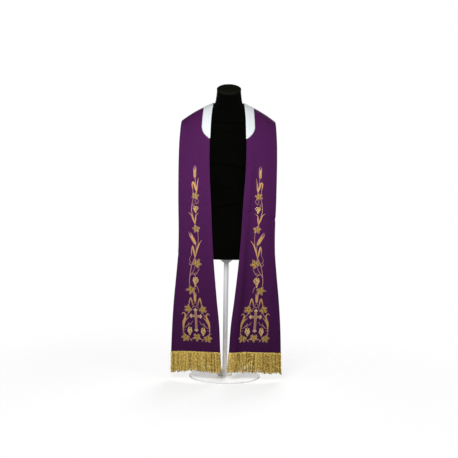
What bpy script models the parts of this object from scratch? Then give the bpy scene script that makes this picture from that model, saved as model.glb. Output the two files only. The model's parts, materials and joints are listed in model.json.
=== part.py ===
"""A clerical stole worn by a dress form.

The stole is two flared halves of firm cloth, sewn together at the centre back. It lies round the
neck, goes over the shoulders and hangs down the front, with a white guard on its neck edge and a
gold fringe on each end. The form is a smooth torso with a neck cap, on a pole and a round foot.

Frame: metres, +Z up, the form faces -Y, the floor is z = 0 and the pole's axis is x = y = 0.
Left and right are as seen from the front: the left half has x below 0.
"""

import math
from collections import namedtuple

import bmesh
import bpy
from mathutils import Vector
from mathutils.bvhtree import BVHTree

# ---------------------------------------------------------------- driving sizes
CLOTH_THICKNESS = 0.002      # face cloth, interlining and backing
GUARD_THICKNESS = 0.0012     # white cotton
GUARD_WIDTH = 0.042          # from the neck edge
GUARD_REACH = 0.320          # from the centre back to its tip, along the neck edge
GUARD_TAPER = 0.062          # length of its end, which rounds in to a tip on the neck edge
GUARD_TAPER_POWER = 1.5
GUARD_TIP_SHARE = 0.97       # how far down the taper its last row lies
GUARD_TAPER_ROWS = 7
SEAM_GAP = 0.0003            # between two pieces that are sewn together
LAYER_GAP = 0.0005           # between a piece and the panel it lies on
REST_CLEARANCE = 0.0006      # from the form's surface to the cloth's points
LEAST_CLEARANCE = 0.0004     # from the form's points to the cloth's faces

GUARD_COLUMNS = 3            # cells across the guard, and across the cloth under it
CLOTH_COLUMNS = 10           # cells across the stole
SHOULDER_ROWS = 34           # rows of cells round the neck, over the shoulder and onto the chest
FALL_ROWS = 32               # rows of cells from the chest to the fringe's heading
EASING_PASSES = 6            # how often the draped points are evened out
CLEARING_PASSES = 8          # how often the cloth's faces are moved off the form's points
CLEARING_REACH = 0.020       # how far from a point of the form the cloth is looked for

HEADING_HEIGHT = 0.010       # woven heading of the fringe, sewn on the front of the hem
HEADING_THICKNESS = 0.0024
STRANDS = 60                 # on each end
STRAND_SHARE = 0.62          # of the pitch from one strand to the next
STRAND_LEVELS = 2
FRINGE_LENGTH = 0.089        # below the heading
FRINGE_UNEVENNESS = 0.005
STRAND_SWAY = 0.0016         # how far a strand may lean forward or back

FORM_SIDES = 36
FORM_RINGS = 34
CAP_OVERHANG = 0.0012        # of the neck cap's rim beyond the neck
CAP_RIM = 0.006              # height of its rim
CAP_DOME = 0.009             # height of its dome above the rim
CAP_DOME_RINGS = 5
CAP_EDGE = 0.001             # bevel at the foot of its rim
POLE_RADIUS = 0.011
BOSS_RADIUS = 0.034          # of the pole's holders, on the foot and under the form
BOSS_NECK_RADIUS = 0.014
BOSS_RIM = 0.006
BOSS_HEIGHT = 0.022
FOOT_RADIUS = 0.165
FOOT_THICKNESS = 0.006
FOOT_EDGE = 0.002
FACE_GAP = 0.0003            # between parts that stand face to face

# ---------------------------------------------------------------- the dress form, ring by ring
# Height of the ring's centre, half width, depth in front of and behind the centre, how far the
# centre lies forward, and the forward slope of the ring's plane.
Ring = namedtuple("Ring", "height half_width front back forward slope")
FORM = [
    Ring(0.556, 0.158, 0.106, 0.107, 0.000, 0.000),
    Ring(0.600, 0.168, 0.113, 0.117, 0.000, 0.000),
    Ring(0.660, 0.171, 0.115, 0.121, 0.000, 0.000),
    Ring(0.740, 0.163, 0.110, 0.113, 0.000, 0.000),
    Ring(0.840, 0.148, 0.099, 0.099, 0.000, 0.000),
    Ring(0.930, 0.154, 0.104, 0.100, 0.000, 0.000),
    Ring(1.010, 0.168, 0.113, 0.106, 0.000, 0.000),
    Ring(1.060, 0.178, 0.118, 0.110, 0.000, 0.000),
    Ring(1.110, 0.189, 0.116, 0.111, 0.000, 0.000),
    Ring(1.145, 0.1960, 0.1080, 0.1065, 0.000, 0.000),
    Ring(1.168, 0.2010, 0.0990, 0.0995, 0.000, 0.000),
    Ring(1.180, 0.2000, 0.0930, 0.0940, 0.000, 0.000),
    Ring(1.188, 0.1930, 0.0880, 0.0900, 0.000, 0.000),
    Ring(1.196, 0.1790, 0.0840, 0.0860, 0.000, 0.000),
    Ring(1.206, 0.1610, 0.0795, 0.0820, 0.000, 0.000),
    Ring(1.217, 0.1405, 0.0755, 0.0780, 0.000, 0.000),
    Ring(1.228, 0.1200, 0.0715, 0.0740, 0.000, 0.000),
    Ring(1.239, 0.1000, 0.0680, 0.0700, 0.000, 0.000),
    Ring(1.248, 0.0835, 0.0655, 0.0670, 0.002, 0.010),
    Ring(1.256, 0.0710, 0.0635, 0.0645, 0.004, 0.030),
    Ring(1.264, 0.0645, 0.0615, 0.0620, 0.006, 0.060),
    Ring(1.275, 0.0610, 0.0595, 0.0600, 0.008, 0.110),
    Ring(1.290, 0.0585, 0.0580, 0.0580, 0.012, 0.200),
    Ring(1.306, 0.0565, 0.0565, 0.0560, 0.016, 0.340),
    Ring(1.3245, 0.0545, 0.0550, 0.0545, 0.021, 0.500),
]

# ---------------------------------------------------------------- the stole's half, section by section
# From the centre back over the shoulder to the hem: the neck edge, the outer edge, and how far
# the middle of the section stands out from the straight line between them.
Section = namedtuple("Section", "in_x in_y in_z out_x out_y out_z bow")
STOLE = [
    Section(0.0000, 0.0650, 1.2600, 0.0000, 0.1130, 1.1180, 0.000),
    Section(0.0300, 0.0590, 1.2610, 0.0520, 0.1110, 1.1220, 0.002),
    Section(0.0520, 0.0430, 1.2630, 0.1080, 0.1020, 1.1370, 0.004),
    Section(0.0650, 0.0210, 1.2650, 0.1600, 0.0800, 1.1580, 0.006),
    Section(0.0700, 0.0020, 1.2660, 0.2000, 0.0450, 1.1770, 0.007),
    Section(0.0715, -0.0180, 1.2610, 0.2120, 0.0060, 1.1870, 0.008),
    Section(0.0730, -0.0400, 1.2470, 0.2150, -0.0260, 1.1740, 0.008),
    Section(0.0760, -0.0620, 1.2250, 0.2170, -0.0460, 1.1510, 0.006),
    Section(0.0785, -0.0830, 1.1950, 0.2190, -0.0560, 1.1210, 0.005),
    Section(0.0800, -0.1010, 1.1580, 0.2210, -0.0610, 1.0890, 0.005),
    Section(0.0815, -0.1120, 1.1100, 0.2220, -0.0640, 1.0520, 0.005),
    Section(0.0825, -0.1160, 1.0400, 0.2230, -0.0660, 0.9950, 0.004),
    Section(0.0800, -0.1170, 0.9400, 0.2230, -0.0670, 0.9100, 0.004),
    Section(0.0725, -0.1170, 0.8200, 0.2220, -0.0670, 0.8030, 0.004),
    Section(0.0665, -0.1180, 0.7000, 0.2190, -0.0680, 0.6920, 0.003),
    Section(0.0595, -0.1190, 0.5900, 0.2200, -0.0690, 0.5880, 0.003),
    Section(0.0505, -0.1200, 0.4900, 0.2275, -0.0700, 0.4930, 0.003),
    Section(0.0380, -0.1210, 0.3700, 0.2385, -0.0710, 0.3720, 0.003),
    Section(0.0250, -0.1220, 0.2550, 0.2460, -0.0720, 0.2550, 0.003),
    Section(0.0180, -0.1230, 0.1280, 0.2505, -0.0730, 0.1270, 0.003),
]
RIDGE_SECTION = 5            # on top of the shoulder
CHEST_SECTION = 10           # where the stole starts to fall straight down

# Each end hangs a little differently: how far the hem's edges lie beyond the table's.
HEM_SPREAD = {
    "left": {"inner": 0.002, "outer": -0.004},
    "right": {"inner": -0.001, "outer": 0.006},
}
SPREAD_FROM = 0.70           # height where that starts

# How far the outermost strands of each fringe spread beyond the hem's ends.
FRINGE_FAN = {
    "left": {"inner": 0.008, "outer": 0.001},
    "right": {"inner": 0.008, "outer": 0.006},
}

# Soft vertical folds: where they lie across the half from the neck edge (0) to the outer edge
# (1), at the chest and at the hem, their half width, and how far they stand out.
Fold = namedtuple("Fold", "side at_chest at_hem half_width height top")
FOLDS = [
    Fold("right", 0.17, 0.13, 0.10, 0.0060, 1.100),
    Fold("right", 0.36, 0.30, 0.15, -0.0045, 1.080),
    Fold("right", 0.78, 0.74, 0.22, 0.0030, 0.900),
    Fold("left", 0.24, 0.30, 0.24, 0.0025, 0.950),
    Fold("left", 0.62, 0.60, 0.20, -0.0025, 0.850),
    Fold("left", 0.90, 0.93, 0.14, 0.0030, 0.600),
]
FOLD_ONSET = 0.30            # the height over which a fold grows to its full size


# ---------------------------------------------------------------- helpers
def tangent(table, knots, index, column):
    before = max(index - 1, 0)
    after = min(index + 1, len(table) - 1)
    rise = getattr(table[after], column) - getattr(table[before], column)
    return rise / (knots[after] - knots[before])


def smooth_row(table, knots, at):
    """The table's columns at a place between its rows, on a curve that passes through every row."""
    last = len(table) - 2
    index = next((i for i in range(last) if at < knots[i + 1]), last)
    span = knots[index + 1] - knots[index]
    t = (at - knots[index]) / span
    values = {}
    for column in table[0]._fields:
        start = getattr(table[index], column)
        end = getattr(table[index + 1], column)
        leave = tangent(table, knots, index, column) * span
        arrive = tangent(table, knots, index + 1, column) * span
        values[column] = (
            (2 * t**3 - 3 * t**2 + 1) * start
            + (t**3 - 2 * t**2 + t) * leave
            + (3 * t**2 - 2 * t**3) * end
            + (t**3 - t**2) * arrive
        )
    return type(table[0])(**values)


def eased_step(low, high, value):
    """0 below low, 1 above high, and an even curve between them."""
    t = min(max((value - low) / (high - low), 0.0), 1.0)
    return t * t * (3 - 2 * t)


def wobble(seed):
    """A fixed value from -1 to 1 that looks irregular from one seed to the next."""
    return math.sin(seed * 12.9898) * math.cos(seed * 4.1414 + 1.3)


def material(name, color, roughness, metallic=0.0):
    made = bpy.data.materials.new(name)
    made.use_nodes = True
    shader = made.node_tree.nodes["Principled BSDF"]
    shader.inputs["Base Color"].default_value = (*color, 1.0)
    shader.inputs["Roughness"].default_value = roughness
    shader.inputs["Metallic"].default_value = metallic
    return made


def add_object(name, mesh, finish):
    mesh.materials.append(finish)
    made = bpy.data.objects.new(name, mesh)
    PARTS.objects.link(made)
    return made


def mesh_from_bmesh(name, shape):
    bmesh.ops.recalc_face_normals(shape, faces=shape.faces)
    mesh = bpy.data.meshes.new(name)
    shape.to_mesh(mesh)
    shape.free()
    mesh.shade_smooth()
    mesh.set_sharp_from_angle(angle=math.radians(50))
    return mesh


def turned(name, profile, sides, finish):
    """A solid of revolution from (radius, height) points that run down its outer side."""
    mesh = bpy.data.meshes.new(name)
    points = [(radius, 0.0, height) for radius, height in profile]
    edges = [(i, i + 1) for i in range(len(points) - 1)]
    mesh.from_pydata(points, edges, [])
    made = add_object(name, mesh, finish)
    screw = made.modifiers.new("Turn", "SCREW")
    screw.steps = sides
    screw.render_steps = sides
    screw.use_merge_vertices = True
    screw.merge_threshold = 0.00005
    screw.use_smooth_shade = True
    return made


# ---------------------------------------------------------------- the dress form
def ring_points(ring):
    """Points round one ring of the form, an oval with a deeper front or back."""
    points = []
    for k in range(FORM_SIDES):
        angle = 2 * math.pi * k / FORM_SIDES
        depth = ring.back if math.sin(angle) > 0 else ring.front
        x = ring.half_width * math.cos(angle)
        from_centre = depth * math.sin(angle)
        y = from_centre - ring.forward
        points.append(Vector((x, y, ring.height + ring.slope * from_centre)))
    return points


def form_heights():
    """Ring heights, closer together where the shoulders turn into the neck."""
    lowest, highest = FORM[0].height, FORM[-1].height
    knots = list(range(len(FORM)))
    steps = [knots[-1] * k / (FORM_RINGS - 1) for k in range(FORM_RINGS)]
    heights = [smooth_row(FORM, knots, step).height for step in steps]
    return [min(max(height, lowest), highest) for height in heights]


def build_form(finish):
    knots = [ring.height for ring in FORM]
    shape = bmesh.new()
    loops = []
    for height in form_heights():
        ring = smooth_row(FORM, knots, height)
        loops.append([shape.verts.new(point) for point in ring_points(ring)])
    for lower, upper in zip(loops, loops[1:]):
        for k in range(FORM_SIDES):
            after = (k + 1) % FORM_SIDES
            shape.faces.new((lower[k], lower[after], upper[after], upper[k]))
    shape.faces.new(reversed(loops[0]))
    shape.faces.new(loops[-1])
    return add_object("form_torso", mesh_from_bmesh("form_torso", shape), finish)


def build_neck_cap(finish):
    top = FORM[-1]
    radius = top.half_width + CAP_OVERHANG
    turns = [math.pi / 2 * k / CAP_DOME_RINGS for k in range(CAP_DOME_RINGS)]
    dome = [(radius * math.sin(turn), CAP_RIM + CAP_DOME * math.cos(turn)) for turn in turns]
    rim = [(radius, CAP_RIM), (radius, CAP_EDGE), (radius - CAP_EDGE, 0.0), (0.0, 0.0)]
    profile = dome + rim
    cap = turned("neck_cap", profile, FORM_SIDES, finish)
    tilt = math.atan(top.slope)
    lift = FACE_GAP / math.cos(tilt)
    cap.location = (0.0, -top.forward, top.height + lift)
    cap.rotation_euler = (tilt, 0.0, 0.0)


def build_stand(finish):
    """A round foot, a pole, and a boss on the foot and under the form that hold the pole."""
    form_bottom = FORM[0].height - FACE_GAP
    socket_bottom = form_bottom - BOSS_HEIGHT
    boss_bottom = FOOT_THICKNESS + FACE_GAP
    boss_top = boss_bottom + BOSS_HEIGHT
    foot = [
        (0.0, FOOT_THICKNESS),
        (FOOT_RADIUS - FOOT_EDGE, FOOT_THICKNESS),
        (FOOT_RADIUS, FOOT_THICKNESS - FOOT_EDGE),
        (FOOT_RADIUS, 0.0),
        (0.0, 0.0),
    ]
    turned("stand_foot", foot, 48, finish)
    boss = [
        (0.0, boss_top),
        (BOSS_NECK_RADIUS, boss_top),
        (BOSS_RADIUS, boss_bottom + BOSS_RIM),
        (BOSS_RADIUS, boss_bottom),
        (0.0, boss_bottom),
    ]
    turned("stand_boss", boss, 24, finish)
    socket = [
        (0.0, form_bottom),
        (BOSS_RADIUS, form_bottom),
        (BOSS_RADIUS, form_bottom - BOSS_RIM),
        (BOSS_NECK_RADIUS, socket_bottom),
        (0.0, socket_bottom),
    ]
    turned("stand_socket", socket, 24, finish)
    pole_top = socket_bottom - FACE_GAP
    pole_bottom = boss_top + FACE_GAP
    pole = [(0.0, pole_top), (POLE_RADIUS, pole_top), (POLE_RADIUS, pole_bottom), (0.0, pole_bottom)]
    turned("stand_pole", pole, 24, finish)


# ---------------------------------------------------------------- the stole
def section_knots():
    """Each section's distance from the centre back, along the middle of the half."""
    knots = [0.0]
    for before, after in zip(STOLE, STOLE[1:]):
        step = Vector((after.in_x + after.out_x, after.in_y + after.out_y, after.in_z + after.out_z))
        step -= Vector((before.in_x + before.out_x, before.in_y + before.out_y, before.in_z + before.out_z))
        knots.append(knots[-1] + step.length / 2)
    return knots


def row_places(knots):
    """Distances of the cloth's rows: close over the shoulder, wider down the front, and one at
    the top of the fringe's heading."""
    chest = knots[CHEST_SECTION]
    heading = knots[-1] - HEADING_HEIGHT
    places = [chest * k / SHOULDER_ROWS for k in range(SHOULDER_ROWS)]
    places += [chest + (heading - chest) * k / FALL_ROWS for k in range(FALL_ROWS + 1)]
    return places + [knots[-1]]


def column_shares(section):
    """Shares of the section's width where the cloth's columns lie, with one at the guard's edge."""
    width = math.dist(section[:3], section[3:6])
    edge = GUARD_WIDTH / width
    beyond = CLOTH_COLUMNS - GUARD_COLUMNS
    under_guard = [edge * j / GUARD_COLUMNS for j in range(GUARD_COLUMNS)]
    return under_guard + [edge + (1 - edge) * j / beyond for j in range(beyond + 1)]


def fold_depth(side, across, height):
    """How far the cloth stands out of its plain section because of its soft folds."""
    depth = 0.0
    for fold in FOLDS:
        if fold.side != side:
            continue
        down = eased_step(STOLE[-1].in_z, STOLE[RIDGE_SECTION].in_z, height)
        centre = fold.at_hem + (fold.at_chest - fold.at_hem) * down
        away = (across - centre) / fold.half_width
        grown = 1 - eased_step(fold.top - FOLD_ONSET, fold.top, height)
        depth += fold.height * grown * math.exp(-away * away)
    return depth


def grid_bmesh(rows):
    shape = bmesh.new()
    grid = [[shape.verts.new(point) for point in row] for row in rows]
    for upper, lower in zip(grid, grid[1:]):
        for j in range(len(upper) - 1):
            shape.faces.new((upper[j], lower[j], lower[j + 1], upper[j + 1]))
    shape.normal_update()
    return shape, grid


def outward_normals(rows):
    """The outward normal at every point of the grid."""
    shape, grid = grid_bmesh(rows)
    normals = [[vert.normal.copy() for vert in row] for row in grid]
    shape.free()
    return normals


def shaped_rows(side):
    """Rows of points of the half before it lies on the form: ruled sections, bowed and folded."""
    knots = section_knots()
    sections = [smooth_row(STOLE, knots, place) for place in row_places(knots)]
    shares = [column_shares(section) for section in sections]
    ruled = [
        [Vector(section[:3]).lerp(Vector(section[3:6]), share) for share in row_shares]
        for section, row_shares in zip(sections, shares)
    ]
    normals = outward_normals(ruled)
    spread = HEM_SPREAD[side]
    for section, row_shares, row, row_normals in zip(sections, shares, ruled, normals):
        for share, point, normal in zip(row_shares, row, row_normals):
            hem_share = 1 - eased_step(STOLE[-1].in_z, SPREAD_FROM, point.z)
            bulge = section.bow * 4 * share * (1 - share)
            if point.y < 0:
                bulge += fold_depth(side, share, point.z)
            point += normal * bulge
            point.x += hem_share * (spread["inner"] * (1 - share) + spread["outer"] * share)
    return ruled


def corners_and_edge_middles(mesh):
    """The mesh's points and the middles of its edges, on the side where x isn't below 0."""
    corners = [vert.co.copy() for vert in mesh.vertices]
    middles = [(corners[edge.vertices[0]] + corners[edge.vertices[1]]) / 2 for edge in mesh.edges]
    return [point for point in corners + middles if point.x > -SEAM_GAP]


def lifted_clear(point, form_tree):
    """The point itself, or the nearest place at the resting clearance outside the form."""
    spot, normal, _, _ = form_tree.find_nearest(point)
    height = (point - spot).dot(normal)
    if height >= REST_CLEARANCE:
        return point
    return spot + normal * REST_CLEARANCE


def evened(rows, i, j):
    """The point pulled halfway to the middle of its neighbours, along an edge only on an edge."""
    last_row, last_column = len(rows) - 1, len(rows[0]) - 1
    if i in (0, last_row):
        return rows[i][j]
    along = (rows[i - 1][j] + rows[i + 1][j]) / 2
    if j in (0, last_column):
        return rows[i][j].lerp(along, 0.25)
    crosswise = (rows[i][j - 1] + rows[i][j + 1]) / 2
    return rows[i][j].lerp((along + crosswise) / 2, 0.5)


def clear_of_points(rows, form_points):
    """Moves the cloth's faces off every point of the form that comes too near to them."""
    shape, grid = grid_bmesh(rows)
    shape.faces.ensure_lookup_table()
    tree = BVHTree.FromBMesh(shape)
    for point in form_points:
        spot, normal, index, _ = tree.find_nearest(point, CLEARING_REACH)
        if spot is None:
            continue
        away = spot - point
        height = away.dot(normal)
        beside_it = (away - normal * height).length > LAYER_GAP
        short = LEAST_CLEARANCE - height
        if short > 0 and not beside_it:
            for vert in shape.faces[index].verts:
                vert.co += normal * short
    moved = [[vert.co.copy() for vert in row] for row in grid]
    shape.free()
    return moved


def draped_rows(side, form_tree, form_points):
    """Rows of points on the cloth's inner face, from the centre back to the hem, for x above 0."""
    rows = [[lifted_clear(point, form_tree) for point in row] for row in shaped_rows(side)]
    for _ in range(EASING_PASSES):
        upper = [[evened(rows, i, j) for j in range(CLOTH_COLUMNS + 1)] for i in range(SHOULDER_ROWS)]
        rows = [[lifted_clear(point, form_tree) for point in row] for row in upper] + rows[SHOULDER_ROWS:]
    for _ in range(CLEARING_PASSES):
        rows = clear_of_points(rows, form_points)
        rows = [[lifted_clear(point, form_tree) for point in row] for row in rows]
    for j, point in enumerate(rows[0]):
        rows[0][j] = Vector((SEAM_GAP / 2, point.y, point.z))
    return rows


def moved_out(rows, normals, distance):
    return [
        [point + normal * distance for point, normal in zip(row, row_normals)]
        for row, row_normals in zip(rows, normals)
    ]


def mirrored(rows):
    """The same rows on the other side of the body."""
    return [[Vector((-point.x, point.y, point.z)) for point in row] for row in rows]


def wall(name, rows, thickness, finish):
    """A cloth wall: the rows are its inner face, and Solidify adds the thickness outside."""
    shape, _ = grid_bmesh(rows)
    mesh = bpy.data.meshes.new(name)
    shape.to_mesh(mesh)
    shape.free()
    mesh.shade_smooth()
    made = add_object(name, mesh, finish)
    solid = made.modifiers.new("Cloth thickness", "SOLIDIFY")
    solid.thickness = thickness
    solid.offset = 1.0
    solid.use_rim = True
    return made


def along_row(row, distance):
    """The point at a distance from the row's first point, on the row's straight stretches."""
    left = distance
    for start, end in zip(row, row[1:]):
        length = (end - start).length
        if left <= length:
            return start.lerp(end, left / length)
        left -= length
    return row[-1]


def guard_rows(outer_rows):
    """Rows of the neck guard on one half, made from points just off the cloth's outer face."""
    reached = [0.0]
    for before, after in zip(outer_rows, outer_rows[1:]):
        reached.append(reached[-1] + (after[0] - before[0]).length)
    taper_start = GUARD_REACH - GUARD_TAPER
    rows = [row[:GUARD_COLUMNS + 1] for row, reach in zip(outer_rows, reached) if reach < taper_start]
    for k in range(GUARD_TAPER_ROWS):
        down = GUARD_TIP_SHARE * k / (GUARD_TAPER_ROWS - 1)
        width = GUARD_WIDTH * (1 - down**GUARD_TAPER_POWER)
        reach = taper_start + GUARD_TAPER * down
        after = next(i for i, there in enumerate(reached) if there > reach)
        share = (reach - reached[after - 1]) / (reached[after] - reached[after - 1])
        between = [a.lerp(b, share) for a, b in zip(outer_rows[after - 1], outer_rows[after])]
        rows.append([along_row(between, width * j / GUARD_COLUMNS) for j in range(GUARD_COLUMNS + 1)])
    return rows


def build_guard(right_outer, left_outer, finish):
    """One strip from the right front tip round the back of the neck to the left front tip."""
    right = guard_rows(right_outer)
    left = mirrored(guard_rows(left_outer))
    for point in right[0]:
        point.x = 0.0
    wall("neck_guard", left[:0:-1] + right, GUARD_THICKNESS, finish)


def row_length(row):
    return sum((end - start).length for start, end in zip(row, row[1:]))


def build_fringe(name, side, hem, heading, finish):
    """The woven heading on the front of the hem, with the strands drawn out of its lower face."""
    cells = 2 * STRANDS - 1
    pitch = 1 / (STRANDS - 1 + STRAND_SHARE)
    stops = [0.0]
    for cell in range(cells):
        stops.append(stops[-1] + pitch * (STRAND_SHARE if cell % 2 == 0 else 1 - STRAND_SHARE))
    low = [along_row(hem, stop * row_length(hem)) for stop in stops]
    high = [along_row(heading, stop * row_length(heading)) for stop in stops]
    outward = (hem[-1] - hem[0]).cross(Vector((0.0, 0.0, 1.0))).normalized()
    if side == "left":
        outward = -outward
    near, far = outward * LAYER_GAP, outward * (LAYER_GAP + HEADING_THICKNESS)
    shape = bmesh.new()
    corners = []
    for top, foot in zip(high, low):
        corners.append([shape.verts.new(spot) for spot in (top + near, top + far, foot + far, foot + near)])
    strand_faces = []
    for cell in range(cells):
        a, b = corners[cell], corners[cell + 1]
        shape.faces.new((a[0], b[0], b[1], a[1]))
        shape.faces.new((a[1], b[1], b[2], a[2]))
        shape.faces.new((a[3], b[3], b[0], a[0]))
        under = shape.faces.new((a[2], b[2], b[3], a[3]))
        if cell % 2 == 0:
            strand_faces.append(under)
    shape.faces.new(corners[0])
    shape.faces.new(reversed(corners[-1]))
    bmesh.ops.recalc_face_normals(shape, faces=shape.faces)
    for number, face in enumerate(strand_faces):
        share = number / (STRANDS - 1)
        fan = FRINGE_FAN[side]["outer"] * share**2 - FRINGE_FAN[side]["inner"] * (1 - share) ** 2
        fan *= 1 if side == "right" else -1
        drop = FRINGE_LENGTH + FRINGE_UNEVENNESS * wobble(number + 7 * (side == "left"))
        for level in range(STRAND_LEVELS):
            made = bmesh.ops.extrude_discrete_faces(shape, faces=[face])
            face = made["faces"][0]
            sway = STRAND_SWAY * wobble(number * 3.7 + level)
            step = Vector((fan / STRAND_LEVELS, sway, -drop / STRAND_LEVELS))
            bmesh.ops.translate(shape, verts=face.verts, vec=step)
    return add_object(name, mesh_from_bmesh(name, shape), finish)


# ---------------------------------------------------------------- assembly
def new_collection(name):
    made = bpy.data.collections.new(name)
    bpy.context.scene.collection.children.link(made)
    return made


for leftover in list(bpy.data.objects):
    bpy.data.objects.remove(leftover)
PARTS = new_collection("clerical_stole")

PURPLE = material("purple_wool_blend", (0.080, 0.020, 0.095), 0.75)
WHITE = material("white_cotton", (0.86, 0.92, 0.94), 0.8)
GOLD = material("gold_bullion", (0.48, 0.35, 0.09), 0.42, 0.6)
BLACK = material("black_jersey", (0.010, 0.010, 0.009), 0.85)
CAP = material("dark_lacquer", (0.020, 0.020, 0.014), 0.35)
STAND = material("white_powder_coat", (0.80, 0.80, 0.80), 0.45)

torso = build_form(BLACK)
build_neck_cap(CAP)
build_stand(STAND)

bpy.context.view_layer.update()
form_tree = BVHTree.FromObject(torso, bpy.context.evaluated_depsgraph_get())
form_points = corners_and_edge_middles(torso.data)
lain_on = {}
for half in ("left", "right"):
    inner_face = draped_rows(half, form_tree, form_points)
    normals = outward_normals(inner_face)
    outer_face = moved_out(inner_face, normals, CLOTH_THICKNESS)
    lain_on[half] = moved_out(inner_face, normals, CLOTH_THICKNESS + LAYER_GAP)
    if half == "left":
        inner_face = [list(reversed(row)) for row in mirrored(inner_face)]
        outer_face = mirrored(outer_face)
    wall(f"stole_{half}_half", inner_face, CLOTH_THICKNESS, PURPLE)
    build_fringe(f"fringe_{half}", half, outer_face[-1], outer_face[-2], GOLD)
build_guard(lain_on["right"], lain_on["left"], WHITE)
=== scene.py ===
# %% [markdown]
# # A clerical stole on a dress form
#
# A stole is a long, narrow vestment worn over the shoulders. This one is two flared halves of purple
# cloth, joined at the centre back, with a white guard round the neck, gold embroidery down each
# front and a bullion fringe on each end. It lies on a black jersey dress form that stands on a pole.
#
# The imported model already has every part at its real size. It could be painted as it is, but its
# faces are coarse, so this lesson keeps the places and rebuilds the surfaces finely. It starts by
# loading the model.

import json
import math
from collections import namedtuple
from contextlib import contextmanager

import bpy
import numpy as np
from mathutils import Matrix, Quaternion, Vector
from mathutils.bvhtree import BVHTree

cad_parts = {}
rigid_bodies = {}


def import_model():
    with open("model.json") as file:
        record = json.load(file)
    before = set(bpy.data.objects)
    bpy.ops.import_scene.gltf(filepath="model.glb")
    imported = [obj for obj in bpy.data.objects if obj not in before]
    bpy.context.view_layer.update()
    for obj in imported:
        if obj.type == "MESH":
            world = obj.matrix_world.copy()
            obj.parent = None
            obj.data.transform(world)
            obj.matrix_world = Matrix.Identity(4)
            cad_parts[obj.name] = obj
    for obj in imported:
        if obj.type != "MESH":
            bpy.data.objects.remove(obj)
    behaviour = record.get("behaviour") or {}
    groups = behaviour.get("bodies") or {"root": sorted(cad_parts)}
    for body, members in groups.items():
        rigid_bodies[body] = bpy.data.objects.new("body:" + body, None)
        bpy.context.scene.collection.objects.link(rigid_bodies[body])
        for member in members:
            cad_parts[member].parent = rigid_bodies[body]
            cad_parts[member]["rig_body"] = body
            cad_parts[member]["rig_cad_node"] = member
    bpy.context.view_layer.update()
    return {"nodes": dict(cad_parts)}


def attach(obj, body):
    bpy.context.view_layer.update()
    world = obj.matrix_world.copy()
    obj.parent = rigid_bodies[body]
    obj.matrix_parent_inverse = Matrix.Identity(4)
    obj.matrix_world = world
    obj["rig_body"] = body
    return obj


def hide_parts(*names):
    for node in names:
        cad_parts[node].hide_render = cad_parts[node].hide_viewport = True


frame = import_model()
MM = 0.001
print("parts:", sorted(frame["nodes"]))

# %% [markdown]
# ## The camera
#
# A shop picture of a vestment is taken with a moderately long lens from chest height, so the ends
# don't look wider than the shoulders. The camera could be placed by hand, but then its distance and
# its aim would depend on each other. Here it is worked out from the point that it looks at, its
# distance, its height angle and a slight roll, each of which can be changed alone.

# %% Camera
AIM = Vector((0.0099, -0.120, 0.6975))
CAMERA_DISTANCE = 4.2
CAMERA_ELEVATION = math.radians(4.0)
CAMERA_ROLL = math.radians(0.9)
CAMERA_LENS = 73.36                    # on Blender's sensor of 36 mm

towards_camera = Vector((0.0, -math.cos(CAMERA_ELEVATION), math.sin(CAMERA_ELEVATION)))
bpy.ops.object.camera_add(location=AIM + towards_camera * CAMERA_DISTANCE)
camera = bpy.context.object
camera.name = "shop_camera"
camera.data.lens = CAMERA_LENS
camera.rotation_mode = "QUATERNION"
upright = (-towards_camera).to_track_quat("-Z", "Y")
camera.rotation_quaternion = upright @ Quaternion((0, 0, 1), CAMERA_ROLL)
bpy.context.scene.camera = camera
print("camera at", [round(c, 3) for c in camera.location])

# %% [markdown]
# ## Nodes and colours
#
# Every material below is a small network of nodes. Colours are written as the hex codes that a
# colour picker shows, and one function turns them into the linear values that Blender calculates
# with. Another adds a node and fills in its settings, values and links in one go. A few steps come
# back in every material, such as noise, woven bands, a bump and a blend of two colours. Each has a
# function of its own, so that a whole material can be read in a few lines.

# %% Helpers for materials
def colour(code):
    """A hex colour as linear red, green, blue and alpha."""
    values = [int(code[i:i + 2], 16) / 255 for i in (0, 2, 4)]
    return [v / 12.92 if v <= 0.04045 else ((v + 0.055) / 1.055) ** 2.4 for v in values] + [1.0]


def add_node(tree, kind, settings=None, inputs=None):
    """A new node; an input that is given a socket is linked to it, any other takes the value."""
    made = tree.nodes.new(kind)
    for name, value in (settings or {}).items():
        setattr(made, name, value)
    for name, value in (inputs or {}).items():
        if isinstance(value, bpy.types.NodeSocket):
            tree.links.new(value, made.inputs[name])
        else:
            made.inputs[name].default_value = value
    return made


def new_finish(name, values):
    """A material whose Principled shader has these constant values, with its node tree."""
    finish = bpy.data.materials.new(name)
    finish.use_nodes = True
    shader = finish.node_tree.nodes["Principled BSDF"]
    for socket, value in values.items():
        shader.inputs[socket].default_value = value
    return finish, finish.node_tree, shader


def object_place(tree):
    """Where a point lies on its piece, in metres."""
    return add_node(tree, "ShaderNodeTexCoord").outputs["Object"]


def cloth_place(tree):
    """Where a point lies across and along its cloth, in metres."""
    return add_node(tree, "ShaderNodeUVMap", {"uv_map": "cloth"}).outputs["UV"]


def noise(tree, place, scale, detail):
    inputs = {"Vector": place, "Scale": scale, "Detail": detail}
    return add_node(tree, "ShaderNodeTexNoise", None, inputs).outputs["Fac"]


def bands(tree, place, direction, pitch, distortion=0.0):
    """Soft stripes every pitch metres; at scale 1 a Wave Texture repeats every 2 pi / 20."""
    inputs = {"Vector": place, "Scale": 2 * math.pi / 20 / pitch, "Distortion": distortion}
    return add_node(tree, "ShaderNodeTexWave", {"bands_direction": direction}, inputs).outputs["Fac"]


def maths(tree, operation, *values, clamp=False):
    settings = {"operation": operation, "use_clamp": clamp}
    return add_node(tree, "ShaderNodeMath", settings, dict(enumerate(values))).outputs["Value"]


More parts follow.
